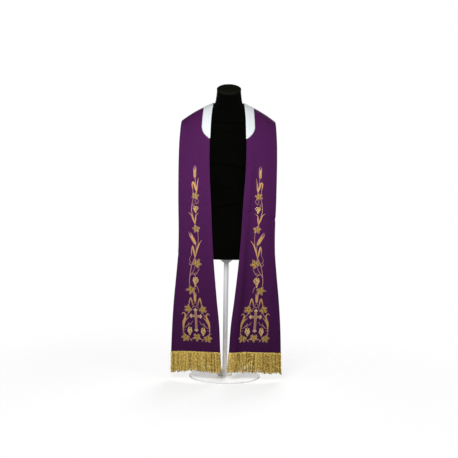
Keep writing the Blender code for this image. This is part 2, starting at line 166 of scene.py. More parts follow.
def remap(tree, value, ends, new_ends, interpolation="LINEAR"):
    """The value with its two ends moved to new ones, and held there beyond them."""
    return add_node(tree, "ShaderNodeMapRange", {"interpolation_type": interpolation}, {
        "Value": value, "From Min": ends[0], "From Max": ends[1],
        "To Min": new_ends[0], "To Max": new_ends[1]}).outputs["Result"]


def blend(tree, share, first, second):
    """A mix of two colours, each of them a hex code or a socket."""
    first, second = (colour(c) if isinstance(c, str) else c for c in (first, second))
    inputs = {"Fac": share, "Color1": first, "Color2": second}
    return add_node(tree, "ShaderNodeMixRGB", None, inputs).outputs["Color"]


def paint(tree, shader, tint):
    tree.links.new(tint, shader.inputs["Base Color"])


def emboss(tree, shader, height, strength, depth):
    """A bump under the shader, its full height worth this depth in metres."""
    inputs = {"Height": height, "Strength": strength, "Distance": depth}
    tree.links.new(add_node(tree, "ShaderNodeBump", None, inputs).outputs["Normal"], shader.inputs["Normal"])


# %% [markdown]
# ## Floor and light
#
# The stage is a pale, seamless floor. It could be a flat plane with an edge, but its far edge would
# draw a line behind the stole, so the disc fades into the white surroundings instead. The key light
# is a small softbox in front at chest height, so the chest is brightest and the ends are a little
# darker. Two wider fills and one rear light keep the sides and the back readable.

# %% Floor and world
FLOOR_RADIUS = 3.0
FLOOR_SOLID = 0.10                     # share of the radius before the floor starts to fade
FLOOR_COVER = 0.35                     # how much of the white surroundings it covers there
FLOOR_GONE = 0.50                      # share of the radius where nothing of it is left

bpy.ops.mesh.primitive_circle_add(vertices=128, radius=FLOOR_RADIUS, fill_type="NGON", location=(0, 0, 0))
floor = bpy.context.object
floor.name = "studio_floor"

finish, tree, shader = new_finish("white_paper_floor", {"Base Color": colour("FFFFFF"), "Roughness": 0.9})
shader.inputs["Specular IOR Level"].default_value = 0.1
centre = add_node(tree, "ShaderNodeVectorMath", {"operation": "LENGTH"}, {0: object_place(tree)})
fade = remap(tree, centre.outputs["Value"], (FLOOR_RADIUS * FLOOR_SOLID, FLOOR_RADIUS * FLOOR_GONE),
             (FLOOR_COVER, 0.0), "SMOOTHSTEP")
tree.links.new(fade, shader.inputs["Alpha"])
floor.data.materials.append(finish)

world = bpy.data.worlds.new("white_studio")
bpy.context.scene.world = world
world.use_nodes = True
backdrop = world.node_tree.nodes["Background"]
backdrop.inputs["Color"].default_value = colour("FFFFFF")
bpy.context.scene.view_settings.view_transform = "Standard"

WORLD_LIGHT = 0.20
seen = add_node(world.node_tree, "ShaderNodeLightPath").outputs["Is Camera Ray"]
strength = remap(world.node_tree, seen, (0.0, 1.0), (WORLD_LIGHT, 1.0))
world.node_tree.links.new(strength, backdrop.inputs["Strength"])

# %% Softboxes
Softbox = namedtuple("Softbox", "name place aim size watts")
SOFTBOXES = [
    Softbox("key", (-0.3, -1.5, 1.15), (0.0, 0.0, 1.0), 0.6, 21.5),
    Softbox("fill_left", (-2.4, -1.5, 2.0), (0.0, 0.0, 0.9), 1.2, 10),
    Softbox("fill_right", (2.0, -1.9, 1.9), (0.0, 0.0, 1.1), 1.2, 18),
    Softbox("rear", (0.6, 2.2, 2.3), (0.0, 0.0, 0.9), 1.4, 60),
]
for box in SOFTBOXES:
    bpy.ops.object.light_add(type="AREA", location=box.place)
    light = bpy.context.object
    light.name = "softbox_" + box.name
    light.data.size = box.size
    light.data.energy = box.watts
    light.rotation_mode = "QUATERNION"
    light.rotation_quaternion = (Vector(box.aim) - Vector(box.place)).to_track_quat("-Z", "Y")
    light.visible_camera = False
print(len(SOFTBOXES), "softboxes")

# %% [markdown]
# ## Finer copies of the rigid parts
#
# The form, its cap and the stand have the right shape already, only with facets. They could be
# modelled again from primitives, but a merged copy with a Subdivision Surface is quicker and can't
# drift from the real sizes. Edges that are meant to be sharp are creased first, or the subdivision
# would melt the rims away. They are picked in edge mode, because in vertex mode the crease spreads to
# every edge between two picked points, and then a round rim keeps its corners.

# %% Copy and smooth a part
MERGE_DISTANCE = 0.01 * MM
CREASE_ANGLE = math.radians(35)
QUAD_BEND, QUAD_SKEW = math.radians(30), math.radians(60)  # most that two triangles may differ by


def select_only(piece):
    """Makes this the one piece that the next operator works on."""
    bpy.ops.object.select_all(action="DESELECT")
    piece.select_set(True)
    bpy.context.view_layer.objects.active = piece


@contextmanager
def edit_mode(action="SELECT", by=None):
    """Edit mode with all of the active piece selected, or nothing, and out again at the end."""
    bpy.ops.object.mode_set(mode="EDIT")
    if by:
        bpy.ops.mesh.select_mode(type=by)
    bpy.ops.mesh.select_all(action=action)
    yield
    bpy.ops.object.mode_set(mode="OBJECT")


def copy_of(node, name):
    """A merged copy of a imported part, alone in the selection, with no material."""
    select_only(frame["nodes"][node])
    bpy.ops.object.duplicate()
    piece = bpy.context.object
    piece.name = piece.data.name = name
    piece.parent = None
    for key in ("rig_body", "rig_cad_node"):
        del piece[key]
    piece.data.materials.clear()
    bpy.ops.mesh.customdata_custom_splitnormals_clear()
    with edit_mode():
        bpy.ops.mesh.remove_doubles(threshold=MERGE_DISTANCE)
    return piece


def apply_modifier(piece, kind, settings):
    select_only(piece)
    made = piece.modifiers.new(kind.lower(), kind)
    for name, value in settings.items():
        setattr(made, name, value)
    bpy.ops.object.modifier_apply(modifier=made.name)


def smoothed(node, name, levels, finish):
    """A copy with quads again, its sharp rims creased, subdivided and shaded smooth."""
    piece = copy_of(node, name)
    with edit_mode():
        bpy.ops.mesh.tris_convert_to_quads(face_threshold=QUAD_BEND, shape_threshold=QUAD_SKEW)
    with edit_mode("DESELECT", "EDGE"):
        bpy.ops.mesh.edges_select_sharp(sharpness=CREASE_ANGLE)
        bpy.ops.transform.edge_crease(value=1.0)
    apply_modifier(piece, "SUBSURF", {"levels": levels, "render_levels": levels})
    bpy.ops.object.shade_smooth_by_angle(angle=CREASE_ANGLE)
    piece.data.materials.append(finish)
    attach(piece, "root")
    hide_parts(node)
    print(name, "has", len(piece.data.polygons), "faces")
    return piece


# %% [markdown]
# ## The dress form's jersey
#
# A shop form is foam under a tight sleeve of matt jersey. Jersey is a knit, so it shows fine upright
# ribs of stitches, and its hairy surface sends almost no mirror light back. A plain dark plastic would
# turn grey where it faces the light, so the specular level is nothing here, and the ribs are a bump
# along the height and round the body. The sleeve was folded flat before it was pulled on. Its folds are
# far shallower than the knit is thick, so they aren't modelled: the shade in them is painted into the
# colour instead, as thin dark lines round the body.

# %% Black cotton jersey
STITCH_HEIGHT = 1.6 * MM               # real courses are 0.7 mm; drawn coarser so that they show
WALE_WIDTH = 2.0 * MM                  # real wales are 0.9 mm
CREASE_SHADE_HALF_WIDTH = 5.0 * MM
CREASE_SHADE_WAVER = 0.02                      # how far a line strays up and down, from end to end
# Painted shade: thin dark lines round the jersey stand in for the shade in the sleeve's folds.
CreaseShade = namedtuple("CreaseShade", "height slope strength")
PAINTED_CREASE_SHADES = [
    CreaseShade(1.238, 0.04, 0.4), CreaseShade(1.175, 0.02, 0.8), CreaseShade(1.128, 0.05, 0.3),
    CreaseShade(0.980, 0.06, 0.9), CreaseShade(0.888, -0.20, 0.3), CreaseShade(0.803, -0.20, 0.8),
]


def painted_crease_shade(tree, place, axes):
    """Up to 1 along the painted shade of the sleeve's folds, 0 away from them."""
    waver = noise(tree, place, 12.0, 2.0)
    strongest = 0.0
    for line in PAINTED_CREASE_SHADES:
        tilted = maths(tree, "MULTIPLY_ADD", axes.outputs["X"], line.slope, axes.outputs["Z"])
        bent = maths(tree, "MULTIPLY_ADD", waver, CREASE_SHADE_WAVER, tilted)
        away = maths(tree, "SUBTRACT", bent, line.height + CREASE_SHADE_WAVER / 2)
        fold_shade = remap(tree, maths(tree, "ABSOLUTE", away), (0.0, CREASE_SHADE_HALF_WIDTH), (line.strength, 0.0),
                     "SMOOTHSTEP")
        strongest = maths(tree, "MAXIMUM", fold_shade, strongest)
    return strongest


def cotton_jersey():
    finish, tree, shader = new_finish("black_cotton_jersey", {
        "Roughness": 0.9, "Specular IOR Level": 0.0, "Sheen Weight": 0.01, "Sheen Roughness": 0.6})
    place = object_place(tree)
    axes = add_node(tree, "ShaderNodeSeparateXYZ", None, {"Vector": place})
    courses, wales = bands(tree, place, "Z", STITCH_HEIGHT), bands(tree, place, "X", WALE_WIDTH)
    fuzz = noise(tree, place, 900.0, 2.0)
    emboss(tree, shader, maths(tree, "ADD", maths(tree, "MULTIPLY", courses, wales), fuzz), 0.8, 0.35 * MM)
    lint = blend(tree, noise(tree, place, 14.0, 4.0), "030402", "060705")
    # Painted shade: the colour darkens to black along the folds.
    paint(tree, shader, blend(tree, painted_crease_shade(tree, place, axes), lint, "000000"))
    return finish


jersey_body = smoothed("form_torso", "jersey_body", 2, cotton_jersey())

# %% [markdown]
# ## Neck cap and stand
#
# The neck is closed by a domed wooden cap under an old, dull varnish, and the pole and foot are steel
# with a white powder coat. The varnish sends back no mirror light any more, so its specular level is
# nothing and only its grain shows; powder coat has the faint orange peel of paint that was melted on,
# so it gets a small, slow bump.

# %% Dull varnish and powder coat
def dull_varnish():
    finish, tree, shader = new_finish("dark_varnished_wood", {"Roughness": 0.8, "Specular IOR Level": 0.0})
    paint(tree, shader, blend(tree, noise(tree, object_place(tree), 60.0, 5.0), "11120C", "1A1B13"))
    return finish


def powder_coat():
    finish, tree, shader = new_finish("white_powder_coat", {"Roughness": 0.45})
    peel = noise(tree, object_place(tree), 450.0, 2.0)
    emboss(tree, shader, peel, 0.25, 0.1 * MM)
    paint(tree, shader, blend(tree, peel, "F1F2F2", "F7F8F8"))
    return finish


cap = smoothed("neck_cap", "varnished_cap", 2, dull_varnish())
coat = powder_coat()
for node in ("stand_pole", "stand_foot", "stand_boss", "stand_socket"):
    smoothed(node, "coated_" + node.removeprefix("stand_"), 2, coat)

# %% [markdown]
# ## Reading a cloth wall
#
# Each half of the stole is packed as a closed wall, 2 mm thick. To rebuild it finely, its outer face
# is needed as an orderly grid: rows from the centre back to the hem, and columns from the neck edge
# to the outer edge. The face could be drawn again from a table of sizes, but reading it keeps every
# place true. Counting steps from neighbour to neighbour gives each point its row and its column.

# %% The outer face as rows and columns
RIM_ANGLE = math.radians(50)


def keep_outer_face(piece):
    """Deletes the wall's inner face and rim; a face that looks straight ahead starts the selection."""
    with edit_mode("DESELECT", "FACE"):
        pass                           # only to leave the wall with no face picked
    min(piece.data.polygons, key=lambda face: face.center.y + face.normal.y).select = True
    bpy.ops.object.mode_set(mode="EDIT")
    bpy.ops.mesh.faces_select_linked_flat(sharpness=RIM_ANGLE)
    bpy.ops.mesh.select_all(action="INVERT")
    bpy.ops.mesh.delete(type="FACE")
    bpy.ops.object.mode_set(mode="OBJECT")


def steps_from(start, neighbours):
    """How many edges lie between each point and the nearest start point."""
    steps = {point: 0 for point in start}
    edge = list(start)
    while edge:
        beyond = {n for point in edge for n in neighbours[point] if n not in steps}
        steps.update({n: steps[edge[0]] + 1 for n in beyond})
        edge = list(beyond)
    return steps


def grid_of(piece):
    """The points of an open, four-sided cloth as an array: row, column, place."""
    mesh = piece.data
    neighbours = [set() for _ in mesh.vertices]
    uses = {key: 0 for key in mesh.edge_keys}
    for a, b in mesh.edge_keys:
        neighbours[a].add(b)
        neighbours[b].add(a)
    for face in mesh.polygons:
        for key in face.edge_keys:
            uses[key] += 1
    rim = {point for key, count in uses.items() if count == 1 for point in key}
    places = [vertex.co.copy() for vertex in mesh.vertices]
    back_seam = [p for p in rim if abs(places[p].x) < 1 * MM and places[p].y > 0]
    row_of = steps_from(back_seam, neighbours)
    neck_edge = [max(back_seam, key=lambda p: places[p].z)]
    for row in range(1, max(row_of.values()) + 1):
        neck_edge.append(min((p for p in rim if row_of[p] == row), key=lambda p: abs(places[p].x)))
    column_of = steps_from(neck_edge, neighbours)
    grid = np.zeros((max(row_of.values()) + 1, max(column_of.values()) + 1, 3))
    for point, place in enumerate(places):
        grid[row_of[point], column_of[point]] = place
    return grid


coarse = {}
for side in ("left", "right"):
    reading = copy_of(f"stole_{side}_half", "reading")
    keep_outer_face(reading)
    coarse[side] = grid_of(reading)
    bpy.data.objects.remove(reading)
    print(side, "half has", coarse[side].shape[:2], "rows and columns")

# %% [markdown]
# ## From coarse rows to fine cloth
#
# Sixty-eight rows are enough for a collision shape, not for cloth. A Subdivision Surface would round
# the corners of the hem, so the grid is read again at places a few millimetres apart, on curves that
# pass through every known point. Each half becomes a panel: its fine points, the way each one faces,
# and how far it lies along and across the cloth. Everything sewn on later is placed on these panels.

# %% Panels
PANEL_ROWS = 420
PANEL_COLUMNS = 56
Panel = namedtuple("Panel", "points normals along across")


def read_between(values, knots, at):
    """Values at the places asked for, on a smooth curve that passes through every knot."""
    slope = np.gradient(values, knots, axis=0)
    index = np.clip(np.searchsorted(knots, at, side="right") - 1, 0, len(knots) - 2)
    span = (knots[index + 1] - knots[index])[:, None]
    t = (at - knots[index])[:, None] / span
    return ((2 * t**3 - 3 * t**2 + 1) * values[index] + (t**3 - 2 * t**2 + t) * slope[index] * span
            + (3 * t**2 - 2 * t**3) * values[index + 1] + (t**3 - t**2) * slope[index + 1] * span)


def distances(points):
    """How far each point of a line lies from its first one."""
    return np.concatenate([[0.0], np.cumsum(np.linalg.norm(np.diff(points, axis=0), axis=1))])


def facing(points):
    """The outward normal at every point of a grid on the body."""
    down, over = np.gradient(points, axis=0), np.gradient(points, axis=1)
    normals = np.cross(over, down)
    normals /= np.linalg.norm(normals, axis=2, keepdims=True)
    from_axis = points * (1.0, 1.0, 0.0)
    return normals if (normals * from_axis).sum() > 0 else -normals


def panel_of(points):
    along = distances(points[:, points.shape[1] // 2])
    across = np.array([distances(row) for row in points])
    return Panel(points, facing(points), along, across)


def fine_panel(grid):
    rows, columns = grid.shape[:2]
    middle = distances(grid[:, columns // 2])
    at = np.linspace(0.0, middle[-1], PANEL_ROWS + 1)
    lines = read_between(grid.reshape(rows, -1), middle, at).reshape(-1, columns, 3)
    shares = np.linspace(0.0, 1.0, PANEL_COLUMNS + 1)
    fine = []
    for line in lines:
        reach = distances(line)
        fine.append(read_between(line, reach, shares * reach[-1]))
    return panel_of(np.array(fine))


panels = {side: fine_panel(coarse[side]) for side in coarse}
for side, panel in panels.items():
    length, hem = round(panel.along[-1], 3), round(panel.across[-1, -1], 3)
    print(side, "panel is", length, "m long and", hem, "m wide at the hem")

# %% [markdown]
# ## Creases
#
# Pressed suiting hangs almost flat, but it isn't a board: a long fold runs down beside the neck edge,
# and folding for storage leaves faint troughs across it. A cloth simulation would give folds where it
# likes; these are listed instead, as a short table of soft troughs and ridges. Each has its
# own place, slant, length, width and depth, wanders and swells a little on its way, and fades out at
# its ends. The hem isn't a ruled line either: it falls away to its outer corner by a few millimetres.

# %% Troughs and ridges
Crease = namedtuple("Crease", "side share above_hem slant length half_width depth")
CREASES = [
    # faint storage creases across the front: share is from the neck edge (0) to the outer edge (1)
    Crease("left", 0.80, 0.672, 4, 0.055, 0.0075, -0.0024),
    Crease("left", 0.12, 0.668, -6, 0.040, 0.0065, -0.0024),
    Crease("left", 0.45, 0.500, 3, 0.100, 0.0080, -0.0011),
    Crease("left", 0.88, 0.446, -3, 0.050, 0.0070, -0.0026),
    Crease("left", 0.85, 0.300, 8, 0.060, 0.0090, -0.0010),
    Crease("right", 0.92, 0.618, -3, 0.045, 0.0090, -0.0040),
    Crease("right", 0.16, 0.640, 5, 0.050, 0.0070, -0.0028),
    Crease("right", 0.80, 0.455, 4, 0.070, 0.0080, -0.0010),
    Crease("right", 0.55, 0.250, -5, 0.080, 0.0100, -0.0010),
    Crease("right", 0.14, 0.155, 12, 0.060, 0.0100, 0.0014),
    # long soft folds down the front
    Crease("right", 0.25, 0.330, 93, 0.620, 0.0280, -0.0085),
    Crease("right", 0.08, 0.360, 92, 0.600, 0.0140, 0.0025),
    Crease("right", 0.86, 0.330, 91, 0.260, 0.0140, 0.0016),
    Crease("left", 0.13, 0.540, 91, 0.360, 0.0110, 0.0014),
    Crease("left", 0.30, 0.330, 92, 0.260, 0.0160, -0.0016),
    Crease("left", 0.90, 0.420, 89, 0.300, 0.0140, 0.0012),
    # where the cloth turns over the shoulder
    Crease("left", 0.82, 1.085, 62, 0.060, 0.0110, -0.0012),
    Crease("right", 0.76, 1.080, 118, 0.065, 0.0120, -0.0013),
    # round the back of the neck
    Crease("left", 0.55, 1.235, 80, 0.070, 0.0130, -0.0015),
    Crease("left", 0.30, 1.300, 25, 0.045, 0.0090, -0.0010),
    Crease("right", 0.60, 1.245, 98, 0.075, 0.0130, -0.0014),
    Crease("right", 0.35, 1.310, -20, 0.040, 0.0100, 0.0010),
]


HEM_DROP = {"left": 6.4 * MM, "right": 8.0 * MM}  # how much lower the hem's outer corner hangs
HEM_EASE = 0.13                        # height above the hem where that starts
CREASE_WANDER = 0.25                   # share of its half-width by which a crease strays sideways
CREASE_SWELL = 0.25                    # share by which its depth comes and goes
CREASE_REACH = 0.6                     # share of its length, each way, where it has mostly faded


def hem_drop(side, panel):
    """How far each point sinks, most of all at the outer corner of the hem."""
    share = panel.across / panel.across[:, -1:]
    above_hem = panel.along[-1] - panel.along
    ease = np.clip(1 - above_hem / HEM_EASE, 0, 1) ** 2
    return HEM_DROP[side] * share**3 * ease[:, None]


def crease_depth(crease, panel):
    """How far this crease moves each point of the panel."""
    above_hem = panel.along[-1] - panel.along
    row = np.abs(above_hem - crease.above_hem).argmin()
    sideways = panel.across - crease.share * panel.across[row, -1]
    upwards = np.broadcast_to((above_hem - crease.above_hem)[:, None], sideways.shape)
    turn = math.radians(crease.slant)
    lengthwise = sideways * math.cos(turn) + upwards * math.sin(turn)
    beside = upwards * math.cos(turn) - sideways * math.sin(turn)
    share = lengthwise / crease.length
    wander = CREASE_WANDER * crease.half_width * np.sin(share * 7.0 + crease.share * 9.0)
    swell = 1 + CREASE_SWELL * np.sin(share * 5.0 + crease.above_hem * 11.0)
    fade = np.exp(-(share / CREASE_REACH) ** 4)
    return crease.depth * swell * fade * np.exp(-((beside + wander) / crease.half_width) ** 2)


# %% [markdown]
# Cloth also can't sink into the form. Each point is compared with the nearest place on the jersey,
# and pushed out wherever the cloth's own thickness wouldn't fit between them.

# %% Crease the panels and keep them off the form
CLOTH_THICKNESS = 2.0 * MM
CLEARANCE = 0.5 * MM
SEARCH_RADIUS = 0.02                   # cloth further than this from the form is left alone

body_tree = BVHTree.FromObject(jersey_body, bpy.context.evaluated_depsgraph_get())


def clear_of_body(points, normals, room):
    """The points, moved out where less than the room asked for is left above the jersey."""
    moved = points.reshape(-1, 3).copy()
    lifted = 0
    for number, (point, normal) in enumerate(zip(moved, normals.reshape(-1, 3))):
        spot, outward, _, _ = body_tree.find_nearest(Vector(point), SEARCH_RADIUS)
        if spot is None:
            continue
        short = room - (Vector(point) - spot).dot(outward)
        if short > 0:
            moved[number] = point + normal * short
            lifted += 1
    return moved.reshape(points.shape), lifted


for side, panel in panels.items():
    depth = sum(crease_depth(crease, panel) for crease in CREASES if crease.side == side)
    points = panel.points + panel.normals * depth[:, :, None]
    points[:, :, 2] -= hem_drop(side, panel)
    points, lifted = clear_of_body(points, panel.normals, CLOTH_THICKNESS + CLEARANCE)
    points[0] = panel.points[0]
    panels[side] = panel_of(points)
    deepest = round(float(np.abs(depth).max()) / MM, 1)
    print(side, "creased by", deepest, "mm at most,", lifted, "points lifted")

# %% [markdown]
# ## The purple cloth
#
# Vestment suiting is a wool blend woven in a fine twill, which draws thin slanting lines, and its
# short nap gives it a soft sheen without a mirror shine. The weave is drawn in metres of cloth, read
# from the piece's own UV map, so that it follows the cloth over the shoulder instead of sliding
# through it. The colour is slightly heathered, because the wool and the polyester in the yarn take up
# the dye differently. It is also darkened towards the hem as painted shade, for light that falls off lower
# down.
# The back of the cloth is a plain satin backing.

# %% Twill and satin
TWILL_PITCH = 1.1 * MM                 # real lines are 0.5 mm apart; drawn coarser so that they show
SATIN_PITCH = 0.8 * MM
# Painted shade: from here to the hem the cloth's colour is darkened.
PAINTED_SHADE_FROM, PAINTED_SHADE_TO = 0.55, 1.33  # metres from the centre back
PAINTED_SHADE_LEFT_AT_HEM = 0.58                         # share of the brightness that is left at the hem


def wool_twill():
    finish, tree, shader = new_finish("purple_wool_blend_twill", {
        "Roughness": 0.82, "Specular IOR Level": 0.06, "Sheen Weight": 0.06, "Sheen Roughness": 0.4,
        "Sheen Tint": colour("A070B0")})
    cloth = cloth_place(tree)
    lines = bands(tree, cloth, "DIAGONAL", TWILL_PITCH / math.sqrt(2), 0.6)
    emboss(tree, shader, maths(tree, "MULTIPLY", lines, noise(tree, cloth, 700.0, 2.0)), 0.5, 0.25 * MM)
    dye = blend(tree, noise(tree, cloth, 55.0, 6.0), "431847", "4F1D52")
    shade = remap(tree, lines, (0.0, 1.0), (0.90, 1.06))
    # Painted shade: darker along the cloth towards the hem.
    lengthwise = add_node(tree, "ShaderNodeSeparateXYZ", None, {"Vector": cloth}).outputs["Y"]
    painted_shade = remap(tree, lengthwise, (PAINTED_SHADE_FROM, PAINTED_SHADE_TO), (1.0, PAINTED_SHADE_LEFT_AT_HEM))
    woven = add_node(tree, "ShaderNodeVectorMath", {"operation": "SCALE"}, {
        0: dye, "Scale": maths(tree, "MULTIPLY", shade, painted_shade)})
    paint(tree, shader, woven.outputs["Vector"])
    return finish


def satin_backing():
    finish, tree, shader = new_finish("purple_satin_backing", {
        "Roughness": 0.5, "Specular IOR Level": 0.35, "Anisotropic": 0.3})
    floats = bands(tree, cloth_place(tree), "Y", SATIN_PITCH, 1.5)
    emboss(tree, shader, floats, 0.25, 0.1 * MM)
    paint(tree, shader, blend(tree, floats, "3D1A42", "4A2350"))
    return finish


# %% [markdown]
# ## Walls of cloth
#
# A single surface looks like paper at its edges. Real cloth is turned in at the edge, so it ends in a
# small round fold. The panel is made from a grid primitive whose points are laid on it, Solidify gives
# it its thickness towards the body, and a small bevel rounds the rim.

# %% Make a wall of cloth
def cloth_wall(name, panel, thickness, finishes, edge_round):
    """A closed wall: the panel is its outer face, and the thickness lies under it."""
    rows, columns = panel.points.shape[:2]
    bpy.ops.mesh.primitive_grid_add(x_subdivisions=columns - 1, y_subdivisions=rows - 1, size=1)
    piece = bpy.context.object
    piece.name = piece.data.name = name
    mesh = piece.data
    mesh.vertices.foreach_set("co", panel.points.astype(np.float32).ravel())
    corners = np.zeros(len(mesh.loops), np.int32)
    mesh.loops.foreach_get("vertex_index", corners)
    along = np.broadcast_to(panel.along[:, None], panel.across.shape)
    cloth_places = np.stack([panel.across, along], axis=2).reshape(-1, 2)
    mesh.uv_layers.active.name = "cloth"
    mesh.uv_layers.active.data.foreach_set("uv", cloth_places[corners].astype(np.float32).ravel())
    mesh.update()
    middle = mesh.polygons[len(mesh.polygons) // 2]
    row, column = divmod(middle.index, columns - 1)
    if middle.normal.dot(Vector(panel.normals[row, column])) < 0:
        with edit_mode():
            bpy.ops.mesh.flip_normals()
    for finish in finishes:
        mesh.materials.append(finish)
    apply_modifier(piece, "SOLIDIFY", {
        "thickness": thickness, "offset": -1.0,
        "material_offset": len(finishes) - 1, "material_offset_rim": 0})
    with edit_mode("DESELECT", "EDGE"):
        bpy.ops.mesh.edges_select_sharp(sharpness=RIM_ANGLE)
        bpy.ops.mesh.bevel(offset=edge_round, segments=2, affect="EDGES")
    bpy.ops.object.shade_smooth()
    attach(piece, "root")
    return piece


twill, satin = wool_twill(), satin_backing()
halves = {}
for side, panel in panels.items():
    half = cloth_wall(f"purple_{side}_half", panel, CLOTH_THICKNESS, [twill, satin], 0.6 * MM)
    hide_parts(f"stole_{side}_half")
    halves[side] = half
    print(half.name, "has", len(half.data.polygons), "faces")

# %% [markdown]
# ## Placing things on the cloth
#
# The guard, the fringe and the embroidery all lie on the two halves. Shrinkwrap could press each one
# on, but it also squeezes what is raised. A direct rule is exact: a place on the cloth is a row and a
# column of the panel, and a height is a distance along the normal there, so a shape that is drawn
# flat keeps its own relief wherever it is laid.

# %% A place on the cloth
def on_cloth(panel, row, column, height):
    """Places above the panel, between its points; a column beyond its edge runs straight on."""
    row, column, height = (np.asarray(value, float) for value in (row, column, height))
    rows, columns = panel.points.shape[:2]
    r = np.clip(np.floor(row).astype(int), 0, rows - 2)
    c = np.clip(np.floor(column).astype(int), 0, columns - 2)
    down, over = (row - r)[..., None], (column - c)[..., None]

    def between(grid):
        upper = grid[r, c] * (1 - over) + grid[r, c + 1] * over
        lower = grid[r + 1, c] * (1 - over) + grid[r + 1, c + 1] * over
        return upper * (1 - down) + lower * down

    normals = between(panel.normals)
    normals /= np.linalg.norm(normals, axis=-1, keepdims=True)
    return between(panel.points) + normals * height[..., None]


# %% [markdown]
# ## The white guard
#
# A stole lies against the neck, so a strip of washable white cotton is tacked over its neck edge. It
# is about 4 cm wide, runs right round the neck, and sweeps in to a point on each front. It
# turns over the neck edge by a couple of millimetres, which is why a thin white line shows there. One
# strip over both halves is made from their own points, because a separate shape would cut into them.

# %% Strip of guard
GUARD_WIDTH = 42 * MM
GUARD_REACH = 320 * MM                 # along the neck edge, from the centre back to each tip
GUARD_SWEEP = 78 * MM                  # length over which the end runs in to its tip
GUARD_SWEEP_POWER = 2.0
GUARD_TIP = 1.2 * MM                   # width that is left at the very tip
GUARD_THICKNESS = 1.2 * MM
GUARD_TURNOVER = 2.0 * MM              # beyond the neck edge
GUARD_TURNDOWN = 1.4 * MM              # how far its turned edge dips there
LAYER_GAP = 0.5 * MM
GUARD_STEP = 2.0 * MM
GUARD_COLUMNS = 18
PUCKER = 0.35 * MM                     # how far the cotton lifts between its tacking stitches
TACK_PITCH = 14 * MM


def guard_width(reach):
    """The guard's width at a distance from the centre back."""
    down = np.clip((np.abs(reach) - (GUARD_REACH - GUARD_SWEEP)) / GUARD_SWEEP, 0, 1)
    return np.maximum(GUARD_WIDTH * (1 - down**GUARD_SWEEP_POWER), GUARD_TIP)


def at_neck(reach, inwards, height):
    """Places at a reach from the centre back and a distance in from the neck edge, on either half."""
    inwards, height = np.broadcast_to(inwards, reach.shape), np.broadcast_to(height, reach.shape)
    places = np.zeros(reach.shape + (3,))
    for side, panel in panels.items():
        here = reach < 0 if side == "left" else reach >= 0
        neck = distances(panel.points[:, 0])
        row = np.interp(np.abs(reach[here]), neck, np.arange(len(neck)))
        width = np.interp(row, np.arange(len(neck)), panel.across[:, -1])
        column = inwards[here] / width * PANEL_COLUMNS
        places[here] = on_cloth(panel, row, column, height[here])
    return places


steps = int(2 * GUARD_REACH / GUARD_STEP)
reach, share = np.meshgrid(
    np.linspace(-GUARD_REACH, GUARD_REACH, steps + 1), np.linspace(0, 1, GUARD_COLUMNS + 1), indexing="ij")
inwards = guard_width(reach) * share - GUARD_TURNOVER * (1 - share) ** 6
lift = PUCKER * np.sin(math.pi * reach / TACK_PITCH) ** 2 * np.clip(share * 3 - 2, 0, 1)
turned_down = GUARD_TURNDOWN * np.clip(-inwards / GUARD_TURNOVER, 0, 1) ** 1.5
guard_top = LAYER_GAP + GUARD_THICKNESS  # height of its outer face above the cloth
guard_places = at_neck(reach, inwards, guard_top + lift - turned_down)
guard_panel = panel_of(guard_places)
print("guard spans", round(guard_panel.along[-1], 3), "m")

# %% [markdown]
# The guard's cotton is a bleached plain weave: warp and weft cross one over one, which makes a fine,
# even grid of dimples. White isn't one value all over, so a trace of blue lies in the dimples.

# %% White cotton
COTTON_PITCH = 1.2 * MM                # real threads are 0.4 mm apart; drawn coarser so that they show


def white_cotton():
    finish, tree, shader = new_finish("bleached_cotton", {
        "Roughness": 0.85, "Specular IOR Level": 0.25, "Sheen Weight": 0.1})
    warp, weft = (bands(tree, cloth_place(tree), way, COTTON_PITCH) for way in "XY")
    grid = maths(tree, "MULTIPLY", warp, weft)
    emboss(tree, shader, grid, 0.4, 0.15 * MM)
    paint(tree, shader, blend(tree, grid, "D6DCDF", "E8EEF0"))
    return finish


cotton = white_cotton()
guard = cloth_wall("white_guard", guard_panel, GUARD_THICKNESS, [cotton], 0.35 * MM)
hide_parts("neck_guard")

# %% [markdown]
# ## Small things by the hundred
#
# The guard's crochet edging, its tacking stitches and the strands of the fringe are each one small
# shape, repeated. An Array modifier would space them evenly along a straight line, but these follow
# the cloth and none is quite like the next. So the shape is modelled once, and a function copies its
# points to every place, each copy standing in that place's own axes. A sphere's faces are listed in
# another order every time it is added, so they are sorted, and the result is the same each time.

# %% Copies of a small shape
def points_and_faces(shape):
    """A modelled shape as plain lists; the shape itself is removed."""
    points = np.array([vertex.co for vertex in shape.data.vertices])
    faces = sorted(tuple(face.vertices) for face in shape.data.polygons)
    bpy.data.objects.remove(shape)
    return points, faces


def joined(name, parts, finish):
    """One smooth piece of many small meshes, each given by its points and its faces."""
    places, faces, start = [], [], 0
    for points, own_faces in parts:
        places.append(points)
        faces += [tuple(corner + start for corner in face) for face in own_faces]
        start += len(points)
    mesh = bpy.data.meshes.new(name)
    mesh.from_pydata(np.concatenate(places).tolist(), [], faces)
    mesh.materials.append(finish)
    mesh.shade_smooth()
    made = bpy.data.objects.new(name, mesh)
    bpy.context.scene.collection.objects.link(made)
    print(name, "has", len(parts), "shapes and", len(faces), "faces")
    return made


def number_points(piece, attribute, values):
    layer = piece.data.attributes.new(attribute, "FLOAT", "POINT")
    layer.data.foreach_set("value", np.asarray(values, np.float32))


def copies(name, shape, frames, finish):
    """The shape in each frame: an origin and three axes with their scales."""
    points, faces = points_and_faces(shape)
    made = joined(name, [
        (origin + points[:, :1] * x + points[:, 1:2] * y + points[:, 2:] * z, faces)
        for origin, x, y, z in frames], finish)
    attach(made, "root")
    return made


